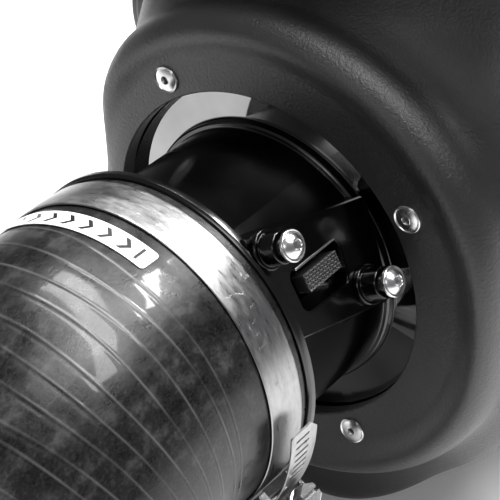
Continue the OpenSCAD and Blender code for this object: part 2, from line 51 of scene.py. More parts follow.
# ---------------------------------------------------------------- frame
# The work frame of every piece: millimetres, origin where the intake axis
# meets the back face of the hose rim, X to the sensor side, Y along the
# axis towards the airbox, Z up.
RIM_T = 3.6
_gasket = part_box("port_gasket")
_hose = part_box("hose_bend")
AXIS = Vector(((_gasket[0].x + _gasket[1].x) / 2, _hose[1].y + RIM_T * MM,
               (_gasket[0].z + _gasket[1].z) / 2))
SEAL = [[(c - a) / MM for c, a in zip(p, AXIS)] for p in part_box("lid_seal")]
SEAL_IN = 0.75
BOX_X0 = SEAL[0][0] - SEAL_IN
BOX_X1 = SEAL[1][0] + SEAL_IN
BOX_Y0 = SEAL[0][1] - SEAL_IN
BOX_Y1 = SEAL[1][1] + SEAL_IN
MID_X = (BOX_X0 + BOX_X1) / 2
MID_Y = (BOX_Y0 + BOX_Y1) / 2
FLOOR_Z = -AXIS.z / MM
SEAM_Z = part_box("airbox_tub")[1].z / MM + FLOOR_Z

# Radii of the housing's spigot, the hose, the housing's bore and the tub's port.
SPIGOT_R = 50.8
HOSE_R = 55.8
BORE_R = 44.0
PORT_R = 60.8
# The boss's face, and the box's wall.
FACE_Y = 49.0
WALL = 5.0
# The hose: radius and start of its bend, and its straight lower leg.
BEND_R = 82.0
BEND_Y = -32.0
LEG = 27.0
# The sensor pad: its angle round the tube and its distance from the axis.
PAD_ANGLE = math.radians(30)
PAD_D = 52.0
# The rivets: radius of their circle, angle of the first, depth of their spot faces.
RIVET_CIRCLE_R = 68.0
RIVET_START = 35
RIVET_SPOT = 0.3
INLET_SCREW_R = 46
# A revolved solid starts this far off its axis.
NEAR_AXIS = 0.001


def to_row(p):
    """Work-frame points, in millimetres, as row-frame points in metres."""
    return np.asarray(p, float) * MM + np.array(AXIS)


# ---------------------------------------------------------------- meshes
def new_piece(name, shape, mat, replaces=(), sharp=32, body="airbox", uv=None):
    """A mesh object from work-frame (vertices, faces), riding on a CAD body."""
    mesh = bpy.data.meshes.new(name)
    mesh.from_pydata(to_row(shape[0]).tolist(), [], [list(map(int, f)) for f in shape[1]])
    if uv is not None:
        layer = mesh.uv_layers.new(name="surface")
        loops = np.zeros(len(mesh.loops), np.int32)
        mesh.loops.foreach_get("vertex_index", loops)
        layer.data.foreach_set("uv", np.asarray(uv, np.float32)[loops].ravel())
    mesh.validate()
    obj = bpy.data.objects.new(name, mesh)
    bpy.context.scene.collection.objects.link(obj)
    for m in mat if isinstance(mat, list) else [mat]:
        mesh.materials.append(m)
    mesh.shade_smooth()
    mesh.set_sharp_from_angle(angle=math.radians(sharp))
    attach(obj, body)
    if replaces:
        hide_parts(*replaces)
    return obj


def grid_faces(nu, nv, close_u, close_v, flip=False):
    """Quads of a grid whose vertex (u, v) is number u * nv + v."""
    mu = nu if close_u else nu - 1
    mv = nv if close_v else nv - 1
    u, v = np.meshgrid(np.arange(mu), np.arange(mv), indexing="ij")
    u, v = u.ravel(), v.ravel()
    a = u * nv + v
    b = ((u + 1) % nu) * nv + v
    c = ((u + 1) % nu) * nv + (v + 1) % nv
    d = u * nv + (v + 1) % nv
    quads = np.stack([a, b, c, d], 1)
    return quads[:, ::-1] if flip else quads


def fillet(points, radius, steps=4):
    """A closed outline with its corners rounded. A point may carry its own radius."""
    out = []
    n = len(points)
    for i, point in enumerate(points):
        p = np.array(point[:2], float)
        r = point[2] if len(point) > 2 else radius
        a = np.array(points[i - 1][:2], float) - p
        b = np.array(points[(i + 1) % n][:2], float) - p
        la, lb = np.linalg.norm(a), np.linalg.norm(b)
        a, b = a / la, b / lb
        angle = math.acos(float(np.clip(a @ b, -1, 1)))
        cut = min(r / math.tan(angle / 2), 0.48 * la, 0.48 * lb) if angle < 3.1 else 0
        if cut < 1e-6:
            out.append(p)
            continue
        rr = cut * math.tan(angle / 2)
        centre = p + (a + b) / np.linalg.norm(a + b) * rr / math.sin(angle / 2)
        s, e = p + a * cut - centre, p + b * cut - centre
        turn = math.atan2(s[0] * e[1] - s[1] * e[0], s @ e)
        for k in range(steps + 1):
            t = turn * k / steps
            c, w = math.cos(t), math.sin(t)
            out.append(centre + np.array([c * s[0] - w * s[1], w * s[0] + c * s[1]]))
    return np.array(out)


def revolve(profile, seg=160, closed=True, start=0.0, sweep=2 * math.pi):
    """Turns a profile of (radius, height) round local Z. Returns vertices, faces and uv."""
    profile = np.asarray(profile, float)
    full = sweep > 2 * math.pi - 1e-6
    t = start + np.linspace(0, sweep, seg, endpoint=not full)
    r, h = profile[:, 0], profile[:, 1]
    v = np.stack([np.outer(np.cos(t), r), np.outer(np.sin(t), r), np.tile(h, (len(t), 1))], 2)
    arc = np.concatenate([[0], np.cumsum(np.hypot(np.diff(r), np.diff(h)))])
    uv = np.stack([np.outer(t, np.full(len(r), r.max())), np.tile(arc, (len(t), 1))], 2)
    faces = list(grid_faces(len(t), len(profile), full, closed))
    if not full and closed:
        faces.append(list(range(len(profile))))
        faces.append(list(range((len(t) - 1) * len(profile), len(t) * len(profile)))[::-1])
    return v.reshape(-1, 3), faces, uv.reshape(-1, 2)


def rod(r, low, high, seg=48):
    """A closed cylinder on local Z."""
    return revolve([(NEAR_AXIS, low), (r, low), (r, high), (NEAR_AXIS, high)], seg)[:2]


def frame_matrix(origin, x, y):
    """Takes local points to the work frame: local X along x, local Y along y."""
    x, y = Vector(x).normalized(), Vector(y).normalized()
    z = x.cross(y)
    m = Matrix((x, y, z)).transposed().to_4x4()
    m.translation = Vector(origin)
    return m


def move(shape, m):
    """A (verts, faces) shape taken through a matrix."""
    a = np.array(m)
    return np.asarray(shape[0]) @ a[:3, :3].T + a[:3, 3], shape[1]


def shift(shape, offset):
    return np.asarray(shape[0]) + np.array(offset), shape[1]


def turned(shape, angle):
    """A (verts, faces) shape turned about local Z, in degrees."""
    c, s = math.cos(math.radians(angle)), math.sin(math.radians(angle))
    return shape[0] @ np.array([[c, s, 0], [-s, c, 0], [0, 0, 1]]), shape[1]


def on_circle(r, angle):
    """The point at an angle in degrees on a circle."""
    return r * math.cos(math.radians(angle)), r * math.sin(math.radians(angle))


def hexagon(r):
    return [on_circle(r, 60 * i) for i in range(6)]


def join(parts):
    """Several (verts, faces) as one."""
    verts, faces, n = [], [], 0
    for v, f in parts:
        verts.append(np.asarray(v, float))
        faces += [[i + n for i in q] for q in f]
        n += len(v)
    return np.vstack(verts), faces


def prism(outline, z0, z1, bevel=0.0):
    """An outline pushed from z0 to z1 with its two rims bevelled."""
    outline = np.asarray(outline, float)
    centre_in = outline - offset_normals(outline) * bevel
    rings = [(centre_in, z0), (outline, z0 + bevel), (outline, z1 - bevel), (centre_in, z1)]
    if bevel == 0:
        rings = [(outline, z0), (outline, z1)]
    n = len(outline)
    verts = np.vstack([np.column_stack([o, np.full(n, z)]) for o, z in rings])
    faces = []
    for k in range(len(rings) - 1):
        for i in range(n):
            j = (i + 1) % n
            faces.append([k * n + i, k * n + j, (k + 1) * n + j, (k + 1) * n + i])
    faces.append(list(range(n))[::-1])
    faces.append(list(range((len(rings) - 1) * n, len(rings) * n)))
    return verts, faces


def offset_normals(outline):
    """Outward normals of an anticlockwise outline, scaled so that edges move by one."""
    def normal(edge):
        length = np.maximum(np.linalg.norm(edge, axis=1), 1e-9)
        return np.column_stack([edge[:, 1], -edge[:, 0]]) / length[:, None]

    s = normal(np.roll(outline, -1, 0) - outline) + normal(outline - np.roll(outline, 1, 0))
    return s / np.maximum((s * s).sum(1) / 2, 0.3)[:, None]


def rounded_rect(x0, y0, x1, y1, r, steps=8):
    return fillet([(x0, y0), (x1, y0), (x1, y1), (x0, y1)], r, steps)


def temp_object(verts, faces):
    mesh = bpy.data.meshes.new("tool")
    mesh.from_pydata(np.asarray(verts, float).tolist(), [], [list(map(int, f)) for f in faces])
    mesh.validate()
    obj = bpy.data.objects.new("tool", mesh)
    bpy.context.scene.collection.objects.link(obj)
    return obj


def combine(base, tools):
    """Booleans on meshes given as (verts, faces); tools is a list of (operation, mesh)."""
    obj = temp_object(*base)
    extra = []
    for operation, tool in tools:
        other = temp_object(*tool)
        extra.append(other)
        boolean = obj.modifiers.new("boolean", "BOOLEAN")
        boolean.operation = operation
        boolean.solver = "MANIFOLD"
        boolean.object = other
    bpy.context.view_layer.update()
    graph = bpy.context.evaluated_depsgraph_get()
    mesh = bpy.data.meshes.new_from_object(obj.evaluated_get(graph))
    verts = np.zeros(len(mesh.vertices) * 3)
    mesh.vertices.foreach_get("co", verts)
    faces = [list(p.vertices) for p in mesh.polygons]
    for o in [obj] + extra:
        bpy.data.objects.remove(o)
    return verts.reshape(-1, 3), faces


def cut(shape):
    return "DIFFERENCE", shape


def add(shape):
    return "UNION", shape


# ---------------------------------------------------------------- implicit shapes
def smax(a, b, k):
    h = np.maximum(k - np.abs(a - b), 0)
    return np.maximum(a, b) + h * h / (4 * k)


def smin(a, b, k):
    h = np.maximum(k - np.abs(a - b), 0)
    return np.minimum(a, b) - h * h / (4 * k)


def ramp(x, a, b):
    t = np.clip((x - a) / (b - a), 0, 1)
    return t * t * (3 - 2 * t)


def surface_of(func, low, high, voxel):
    """The zero surface of func, as quads pulled exactly onto it."""
    axes = [np.arange(a, b + voxel, voxel) for a, b in zip(low, high)]
    x, y, z = np.meshgrid(*axes, indexing="ij")
    grid = openvdb.FloatGrid()
    grid.copyFromArray(func(x, y, z).astype(np.float32))
    points, quads = grid.convertToQuads(isovalue=0.0)
    p = points.astype(float) * voxel + np.array([a[0] for a in axes])
    e = 0.05
    for _ in range(3):
        f = func(*p.T)
        g = np.stack([(func(*(p + d).T) - func(*(p - d).T)) / (2 * e) for d in np.eye(3) * e], 1)
        p -= g * (f / np.maximum((g * g).sum(1), 0.2))[:, None]
    return p, quads


# ---------------------------------------------------------------- materials
def material(name):
    mat = bpy.data.materials.new(name)
    mat.use_nodes = True
    return mat, mat.node_tree, mat.node_tree.nodes["Principled BSDF"]


def coordinates(tree, kind="Object", scale=(1, 1, 1)):
    coord = tree.nodes.new("ShaderNodeTexCoord")
    mapping = tree.nodes.new("ShaderNodeMapping")
    mapping.inputs["Scale"].default_value = scale
    tree.links.new(coord.outputs[kind], mapping.inputs["Vector"])
    return mapping.outputs["Vector"]


def noise(tree, vector, scale, detail=3.0, rough=0.55):
    n = tree.nodes.new("ShaderNodeTexNoise")
    n.inputs["Scale"].default_value = scale
    n.inputs["Detail"].default_value = detail
    n.inputs["Roughness"].default_value = rough
    tree.links.new(vector, n.inputs["Vector"])
    return n.outputs["Fac"]


def ramp_node(tree, fac, stops):
    r = tree.nodes.new("ShaderNodeValToRGB")
    while len(r.color_ramp.elements) < len(stops):
        r.color_ramp.elements.new(0.5)
    for element, (pos, value) in zip(r.color_ramp.elements, stops):
        element.position = pos
        element.color = (*value, 1) if isinstance(value, tuple) else (value, value, value, 1)
    tree.links.new(fac, r.inputs["Fac"])
    return r.outputs["Color"]


def graded(tree, socket, fac, stops):
    """Feeds a shader's socket from a ramp."""
    tree.links.new(ramp_node(tree, fac, stops), socket)


def bump(tree, height, strength, distance, normal=None):
    b = tree.nodes.new("ShaderNodeBump")
    b.inputs["Strength"].default_value = strength
    b.inputs["Distance"].default_value = distance
    tree.links.new(height, b.inputs["Height"])
    if normal is not None:
        tree.links.new(normal, b.inputs["Normal"])
    return b.outputs["Normal"]


def textured(name, low, high, rough, scale=700, bump_depth=0.0003, strength=0.5, metallic=0.0,
             fine=0.0):
    """Speckled surface: colour between low and high, roughness range, grain bump."""
    mat, tree, shader = material(name)
    v = coordinates(tree)
    grain = noise(tree, v, scale, 4)
    cloud = noise(tree, v, scale / 40, 3)
    graded(tree, shader.inputs["Base Color"], cloud, [(0.3, low), (0.7, high)])
    graded(tree, shader.inputs["Roughness"], cloud, [(0.25, rough[0]), (0.75, rough[1])])
    normal = bump(tree, grain, strength, bump_depth)
    if fine:
        normal = bump(tree, noise(tree, v, scale * 3.1, 2), fine, bump_depth, normal)
    tree.links.new(normal, shader.inputs["Normal"])
    shader.inputs["Metallic"].default_value = metallic
    return mat


def turned_metal(name, base, rough, line_scale, strength, axis="Y"):
    """Machined metal with fine turning lines across the given row axis."""
    mat, tree, shader = material(name)
    k = {"X": (1, 0.02, 0.02), "Y": (0.02, 1, 0.02), "Z": (0.02, 0.02, 1)}[axis]
    lines = noise(tree, coordinates(tree, scale=k), line_scale, 3)
    patch = noise(tree, coordinates(tree), 35, 3)
    graded(tree, shader.inputs["Base Color"], patch, [(0.3, base * 0.85), (0.7, base * 1.15)])
    graded(tree, shader.inputs["Roughness"], patch, [(0.3, rough * 0.8), (0.7, rough * 1.25)])
    tree.links.new(bump(tree, lines, strength, 0.00005), shader.inputs["Normal"])
    shader.inputs["Metallic"].default_value = 1.0
    return mat


def brushed_band(name, base):
    """Stainless strip: brush lines along the strip, scratches, smudges. Needs uv in mm."""
    mat, tree, shader = material(name)
    along = coordinates(tree, "UV", (0.04, 3.2, 1))
    lines = noise(tree, along, 2.5, 5, 0.7)
    scuff = noise(tree, coordinates(tree, "UV", (0.09, 0.3, 1)), 1.6, 6, 0.7)
    graded(tree, shader.inputs["Base Color"], scuff, [(0.35, base * 0.72), (0.62, base * 1.06)])
    graded(tree, shader.inputs["Roughness"], scuff, [(0.3, 0.24), (0.7, 0.42)])
    first = bump(tree, lines, 0.35, 0.00006)
    scratch = noise(tree, coordinates(tree, "UV", (0.5, 0.12, 1)), 1.2, 8, 0.8)
    cut = ramp_node(tree, scratch, [(0.60, 1.0), (0.635, 0.0), (0.66, 1.0)])
    tree.links.new(bump(tree, cut, 0.3, 0.00008, first), shader.inputs["Normal"])
    shader.inputs["Metallic"].default_value = 1.0
    shader.inputs["Anisotropic"].default_value = 0.4
    return mat


def hose_skin(name):
    """Wrapped silicone: mottled cloth show-through, uneven gloss, and a painted highlight of light grey
    along the fine wrap ridges. uv in mm.
    """
    mat, tree, shader = material(name)
    uv = coordinates(tree, "UV", (1, 1, 1))
    mottle = noise(tree, uv, 0.11, 9, 0.68)
    fleck = noise(tree, uv, 1.1, 6, 0.75)
    weave = noise(tree, coordinates(tree, "UV", (1.6, 0.5, 1)), 1.3, 4, 0.6)
    base = ramp_node(tree, mottle, [(0.38, 0.002), (0.52, 0.007), (0.68, 0.036)])
    dust = ramp_node(tree, fleck, [(0.48, 0.0), (0.75, 0.03)])
    add = tree.nodes.new("ShaderNodeMix")
    add.data_type = "RGBA"
    add.blend_type = "ADD"
    add.inputs["Factor"].default_value = 0.55
    tree.links.new(base, add.inputs["A"])
    tree.links.new(dust, add.inputs["B"])
    # painted highlight: a lighter grey laid along the wrap ridges in place of their sheen
    line = tree.nodes.new("ShaderNodeAttribute")
    line.attribute_name = "wrap_ridge_highlight"
    ridge_highlight_mix = tree.nodes.new("ShaderNodeMix")
    ridge_highlight_mix.data_type = "RGBA"
    tree.links.new(line.outputs["Fac"], ridge_highlight_mix.inputs["Factor"])
    tree.links.new(add.outputs["Result"], ridge_highlight_mix.inputs["A"])
    ridge_highlight_mix.inputs["B"].default_value = (0.13, 0.13, 0.13, 1)
    tree.links.new(ridge_highlight_mix.outputs["Result"], shader.inputs["Base Color"])
    graded(tree, shader.inputs["Roughness"], mottle, [(0.35, 0.22), (0.68, 0.45)])
    first = bump(tree, mottle, 0.35, 0.0005)
    second = bump(tree, weave, 0.22, 0.0002, first)
    tree.links.new(second, shader.inputs["Normal"])
    shader.inputs["Specular IOR Level"].default_value = 0.28
    shader.inputs["Coat Weight"].default_value = 0.15
    shader.inputs["Coat Roughness"].default_value = 0.06
    return mat


PLASTIC = textured("moulded_plastic", 0.012, 0.022, (0.34, 0.42), 950, 0.00030, 0.70, fine=0.40)
ANODISED = turned_metal("black_anodised", 0.065, 0.17, 2600, 0.12)
POLISHED = turned_metal("black_plate", 0.27, 0.035, 400, 0.015)
SPACER = turned_metal("spacer_black", 0.035, 0.16, 1800, 0.05, "X")
STAINLESS = turned_metal("stainless_fastener", 0.66, 0.24, 900, 0.03, "X")
BAND = brushed_band("stainless_band", 0.36)
ZINC = textured("zinc_plate", 0.58, 0.72, (0.22, 0.38), 900, 0.0001, 0.2, metallic=1.0)
HOSE = hose_skin("silicone_wrap")
HOSE_CUT = textured("hose_ply_edge", 0.07, 0.16, (0.6, 0.8), 1600, 0.0003, 0.7)
RUBBER = textured("black_rubber", 0.010, 0.020, (0.55, 0.72), 900, 0.0002, 0.35)
FOAM = textured("filter_urethane", 0.020, 0.036, (0.45, 0.6), 500, 0.0003, 0.3)
MEDIA = textured("pleated_media", 0.42, 0.52, (0.8, 0.95), 1500, 0.0003, 0.5)
WIRE = textured("cage_wire", 0.50, 0.62, (0.3, 0.4), 1200, 0.0001, 0.2, metallic=1.0)
BRASS = textured("insert_brass", (0.55, 0.38, 0.14), (0.68, 0.48, 0.20), (0.25, 0.35), 900, 0.0001, 0.2,
                 metallic=1.0)
FILM = textured("label_film", 0.82, 0.88, (0.22, 0.34), 500, 0.00008, 0.2)
INK = textured("label_ink", 0.010, 0.018, (0.25, 0.35), 500, 0.00008, 0.2)
WEAVE = textured("woven_insert", 0.03, 0.07, (0.35, 0.5), 1500, 0.0002, 0.4)
CELLS = textured("foil_cells", 0.45, 0.58, (0.25, 0.35), 900, 0.0001, 0.2, metallic=1.0)

# ---------------------------------------------------------------- airbox
CORNER_R = 28.0
CREST_X, CREST_Z, CREST_R = 4.0, 2.5, 84.5
BEVEL = ((30.0, FLOOR_Z), (92.0, FLOOR_Z + 76.0))


def tub_field(x, y, z):
    """Distance-like field of the tub's outside, smooth where the moulding is."""
    hx, hy = (BOX_X1 - BOX_X0) / 2, (BOX_Y1 - BOX_Y0) / 2
    front_step = 7.0 * ramp(z, SEAM_Z - 34, SEAM_Z - 16)
    dy = np.where(y < MID_Y, MID_Y - y + front_step, y - MID_Y)
    qx = np.abs(x - MID_X) - (hx - CORNER_R)
    qy = dy - (hy - CORNER_R)
    plan = np.hypot(np.maximum(qx, 0), np.maximum(qy, 0)) + np.minimum(np.maximum(qx, qy), 0) - CORNER_R
    body = smax(plan, FLOOR_Z - z, 14)
    (ax, az), (bx, bz) = BEVEL
    length = math.hypot(bx - ax, bz - az)
    bevel = ((x - ax) * (bz - az) - (z - az) * (bx - ax)) / length
    body = smax(body, bevel, 22)
    rho = np.hypot(x - CREST_X, z - CREST_Z)
    flare = CREST_R + 3.5 + 8.0 * ramp(y, FACE_Y + 10, FACE_Y + 34)
    face = FACE_Y - 5.0 * ramp(rho, 72.0, 83)
    boss = smax(rho - flare, face - y, 15)
    boss = np.maximum(boss, y - FACE_Y - 60)
    boss = smax(boss, BOX_X0 - x, 22)
    both = smin(body, boss, 16)
    return smax(both, np.abs(x - MID_X) - hx, 10)


def plan_outline(grow):
    r = CORNER_R + grow
    return rounded_rect(BOX_X0 - grow, BOX_Y0 - grow, BOX_X1 + grow, BOX_Y1 + grow, r, 14)


def lid_screw_places():
    lip, pitch = 6.0, 84
    side = [(x, MID_Y + d) for x in (BOX_X0 - lip, BOX_X1 + lip) for d in (-pitch, 0, pitch)]
    return side + [(MID_X, BOX_Y0 - lip), (MID_X, BOX_Y1 + lip)]


def cylinder_y(r, y0, y1, at=(0, 0), seg=96, chamfer=0.0):
    """A closed cylinder along Y, with an optional flare at its y0 end."""
    flare_y = y0 + (chamfer or 0.01)
    prof = [(NEAR_AXIS, y0), (r + chamfer, y0), (r, flare_y), (r, y1), (NEAR_AXIS, y1)]
    return move(revolve(prof, seg), frame_matrix((at[0], 0, at[1]), (1, 0, 0), (0, 0, -1)))


def cylinder_z(r, z0, z1, at, seg=48):
    return shift(rod(r, z0, z1, seg), (at[0], at[1], 0))


def cylinder_x(r, x0, x1, at, seg=64):
    return move(rod(r, x0, x1, seg), frame_matrix((0, at[0], at[1]), (0, 1, 0), (0, 0, 1)))


def node_centre(node):
    a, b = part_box(node)
    return [((p + q) / 2 - c) / MM for p, q, c in zip(a, b, AXIS)]


def build_tub():
    top = SEAM_Z - 2.0
    low = (BOX_X0 - 8, FACE_Y - 14, FLOOR_Z - 6)
    high = (BOX_X1 + 8, BOX_Y1 + 8, SEAM_Z + 6)
    voxel = 2.0

    def outside(x, y, z):
        return np.maximum(tub_field(x, y, z), z - top)

    def inside(x, y, z):
        return np.maximum(tub_field(x, y, z) + WALL, z - SEAM_Z - 4)

    outer = surface_of(outside, low, high, voxel)
    inner = surface_of(inside, low, high, voxel)
    lip = prism(plan_outline(12), SEAM_Z - 5, SEAM_Z, 0.8)
    lip_hole = prism(plan_outline(-4), SEAM_Z - 8, SEAM_Z + 6)
    groove_out = prism(plan_outline(-0.7), SEAM_Z - 2, SEAM_Z + 3)
    groove_in = prism(plan_outline(-3.3), SEAM_Z - 3, SEAM_Z + 4)
    tools = [cut(inner), add(combine(lip, [cut(lip_hole)]))]
    tools += [add(cylinder_z(5.8, SEAM_Z - 20, SEAM_Z - 1, p)) for p in lid_screw_places()]
    tools.append(cut(combine(groove_out, [cut(groove_in)])))
    tools += [cut(cylinder_z(3.6, SEAM_Z - 15, SEAM_Z + 2, p)) for p in lid_screw_places()]
    tools.append(cut(cylinder_y(PORT_R, FACE_Y - 1.0, FACE_Y + 16, seg=256, chamfer=1.5)))
    inlet = node_centre("inlet_stub")
    tools.append(cut(cylinder_x(37.5, BOX_X0 - 5, BOX_X0 + 12, inlet[1:], 96)))
    drain = node_centre("drain_grommet")
    tools.append(cut(cylinder_z(8, FLOOR_Z - 3, FLOOR_Z + 9, drain[:2])))
    new_piece("airbox_tub_skin", combine(outer, tools), PLASTIC, ["airbox_tub"], 38)


build_tub()


def build_lid():
    z = SEAM_Z + 0.3
    plate = prism(plan_outline(12), z, z + 5, 1.2)
    tools = [add(prism(plan_outline(-10), z + 1, z + 12, 2.5))]
    for dx in (-40, 0, 40):
        rib = rounded_rect(MID_X + dx - 3, MID_Y - 70, MID_X + dx + 3, MID_Y + 70, 2.9, 6)
        tools.append(add(prism(rib, z + 9, z + 14, 1.0)))
    tools.append(cut(prism(plan_outline(-14), z - 2, z + 8)))
    tools += [cut(cylinder_z(2.9, z - 1, z + 8, p)) for p in lid_screw_places()]
    new_piece("airbox_lid_skin", combine(plate, tools), PLASTIC, ["airbox_lid"], 30, "lid")


build_lid()


# ---------------------------------------------------------------- fasteners
def button_head(head, height, shank, af):
    """Button-head hex screw on z = 0, head up: rolled rim, dome and a real socket."""
    socket = af / math.sqrt(3) + 0.15
    inner = head - 0.85
    cap_r = (inner * inner - socket * socket + (height - 1.0) ** 2) / (2 * (height - 1.0))
    prof = []
    for r in np.linspace(inner, socket + 0.2, 14):
        prof.append((r, height - cap_r + math.sqrt(cap_r * cap_r - r * r + socket * socket)))
    outline = [(NEAR_AXIS, 0.0), (head - 0.2, 0.0), (head, 0.2), (head, 0.95), (head - 0.1, 1.15),
               (head - 0.3, 1.25), (head - 0.55, 1.15), (head - 0.68, 0.85), (head - 0.78, 0.85)] + prof
    outline += [(socket, height - 0.02), (socket - 0.2, height - 0.25), (socket - 0.3, height - 0.6),
                (NEAR_AXIS, height - 0.8)]
    key = prism(hexagon(af / math.sqrt(3)), height - 2.3, height + 1)
    thread = revolve([(NEAR_AXIS, -shank), (2.0, -shank), (2.45, -shank + 0.5), (2.45, 0.2),
                      (NEAR_AXIS, 0.2)], 40)
    return combine(revolve(outline, 72)[:2], [add(thread[:2]), cut(key)])


def copies(shape, matrices):
    return join([move(shape, m) for m in matrices])


def pad_matrix(d, y, t):
    """Local Z outwards from the sensor pad, at distance d and pad position (y, t)."""
    n = Vector((math.cos(PAD_ANGLE), 0, math.sin(PAD_ANGLE)))
    across = Vector((-math.sin(PAD_ANGLE), 0, math.cos(PAD_ANGLE)))
    along = Vector((0, 1, 0))
    m = Matrix((along, across, along.cross(across))).transposed().to_4x4()
    m.translation = n * d + along * y + across * t
    return m


SPACER_AT = [(4, 21), (37, -9)]
SPACER_H = 8.0
SHANK_SHOW = 2.5


def build_fasteners():
    screw = button_head(5.0, 2.9, SPACER_H + SHANK_SHOW + 4.5, 3)
    seats = [pad_matrix(PAD_D + SPACER_H + SHANK_SHOW, y, t) for y, t in SPACER_AT]
    new_piece("sensor_screw_pair", copies(screw, seats), STAINLESS, ["sensor_screws"], 40)
    spacer = revolve(fillet([(2.6, -0.38), (6.5, -0.38), (6.5, 2.0, 0.5), (5.2, 2.0, 0.2),
                             (5.2, SPACER_H, 0.6), (2.6, SPACER_H)], 0.2, 4), 72)
    seats = [pad_matrix(PAD_D, y, t) for y, t in SPACER_AT]
    new_piece("sensor_spacer_pair", copies(spacer, seats), SPACER, ["sensor_spacers"], 40)
    seats = [Matrix.Translation((x, y, SEAM_Z + 5.3)) for x, y in lid_screw_places()]
    new_piece("lid_screw_set", copies(button_head(5.0, 2.9, 15, 3), seats), STAINLESS,
              ["lid_screws"], 40, "lid")
    _, cy, cz = node_centre("inlet_stub")
    seats = []
    for angle in (45, 135, 225, 315):
        dy, dz = on_circle(INLET_SCREW_R, angle)
        seats.append(frame_matrix((BOX_X0 - 4, cy + dy, cz + dz), (0, 0, 1), (0, 1, 0)))
    new_piece("inlet_screw_set", copies(button_head(4.6, 2.9, 9, 3), seats), STAINLESS,
              ["inlet_screws"], 40)


def rivet_places():
    """The rivets' (x, z) on the boss's face."""
    return [on_circle(RIVET_CIRCLE_R, RIVET_START + 90 * k) for k in range(4)]


def build_rivets():
    """Dome-head blind rivets: rolled rim, groove, dome and the mandrel hole."""
    dome = [(r, 0.85 + 0.72 * (1 - (r / 3.9) ** 2)) for r in np.linspace(3.85, 1.6, 10)]
    outline = [(4.85, 0.0), (4.85, 0.5), (4.75, 0.8), (4.55, 0.95), (4.3, 0.85), (4.1, 0.62), (3.95, 0.62)]
    outline += dome + [(1.45, 1.5), (1.3, 1.3), (1.2, -5.0), (NEAR_AXIS, -5.0),
                (NEAR_AXIS, -16), (3.4, -16), (3.4, -12.2), (2.4, -12), (2.4, 0.0)]
    seats = [frame_matrix((x, FACE_Y + RIVET_SPOT, z), (1, 0, 0), (0, 0, 1)) for x, z in rivet_places()]
    rivets = copies(revolve(outline, 64), seats)
    new_piece("face_rivet_set", rivets, STAINLESS, ["face_rivets"], 40)


build_fasteners()
build_rivets()


# ---------------------------------------------------------------- meter housing
AXIS_M = frame_matrix((0, 0, 0), (1, 0, 0), (0, 0, -1))
SCREW_R = 2.45
SPOT_R = 6.85
PAD_SKEW = math.radians(-13)
LEDGE = 44.8


def pad_outline(u0, u1, v0, v1, r):
    """The sensor pad's outline, skewed against the tube, as (y, t) points."""
    c, s = math.cos(PAD_SKEW), math.sin(PAD_SKEW)
    corners = [(u0, v0), (u1, v0), (u1, v1), (u0, v1)]
    return fillet([(u * c - v * s, u * s + v * c) for u, v in corners], r, 6)


def on_pad(shape):
    """A prism drawn in (y, t) with heights as distances from the tube axis, put on the pad."""
    return move(shape, pad_matrix(0, 0, 0))


POCKET = [(8.4, -3.6, 3.0), (30.6, -4.2, 3.0), (34.2, 9.8, 3.4), (8.2, 11.0, 3.4)]
POCKET_EDGE = [(7.9, -4.1, 3.0), (31.1, -4.7, 3.0), (34.7, 10.3, 3.4), (7.7, 11.5, 3.4)]
INSERT_D = 50.6
SPOT_T = 0.4
WINDOW = [(11.5, -1.5, 1.5), (30.0, -1.5, 1.5), (30.0, 8.0, 1.5), (11.5, 8.0, 1.5)]


def build_housing():
    outline = [(47.8, -29.6, 0.3), (49.8, -29.6, 0.3), (50.8, -28.6, 0.3), (50.8, -3.6, 0.4),
               (56.2, -3.6, 0.15), (57.0, -2.8, 0.15), (57.0, -0.8, 0.15), (56.2, 0, 0.15),
               (47.2, 0, 0.8), (47.2, 51.5, 0.4), (48.5, 51.5, 0.2), (49.1, 52.1, 0.2), (49.1, 55, 0.6),
               (71.6, 55, 0.2), (72, 55.4, 0.2), (72, 60.6, 0.2), (71.6, 61, 0.2),
               (50.8, 61, 0.8), (50.8, 94, 0.3), (49.8, 95, 0.3), (47.8, 95, 0.3),
               (47.8, 65, 0.5), (44, 61, 0.5), (44, -5.6, 0.5), (47.8, -11.6, 0.5)]
    tube = move(revolve(fillet(outline, 0.2, 3), 256), AXIS_M)
    keep = on_pad(prism([(-2.2, -40), (54, -40), (54, 40), (-2.2, 40)], 30, 70))
    pad = combine(on_pad(prism(pad_outline(-10, 48, -8, 26.5, 2.6), 36, PAD_D, 0.45)), [("INTERSECT", keep)])
    tools = [add(pad), cut(move(rod(BORE_R, -40, 60, 256), AXIS_M))]
    tools.append(cut(on_pad(prism(fillet(POCKET, 3, 6), LEDGE, PAD_D + 2))))
    tools.append(cut(on_pad(prism(fillet(POCKET_EDGE, 3, 6), PAD_D - 0.35, PAD_D + 3))))
    tools.append(cut(on_pad(prism(fillet(WINDOW, 1.5, 4), 30, LEDGE + 1))))
    for y, t in SPACER_AT:
        seat = pad_matrix(PAD_D, y, t)
        tools.append(cut(move(rod(SCREW_R + 0.2, -6, 3), seat)))
        tools.append(cut(move(rod(SPOT_R, -SPOT_T, 9, 96), seat)))
    tools += [cut(cylinder_y(2.6, 50, 66, place, 48)) for place in rivet_places()]
    split_plate_for_painted_shade(new_piece("meter_housing_body", combine(tube, tools), [ANODISED, POLISHED],
                         ["meter_housing"], 28))


def split_plate_for_painted_shade(obj):
    """The flange plate's upper part is polished and the rest is turned; the plate's lower part keeps the
    darker turned finish as painted shade, so it shows no reflection of the floor.
    """
    radius = 51.5 * MM
    for p in obj.data.polygons:
        c = p.center - AXIS
        # painted shade: the plate below z = -12 mm keeps the turned finish instead of the polish
        if c.y > 54 * MM and c.z > -12 * MM and math.hypot(c.x, c.z) > radius:
            p.material_index = 1


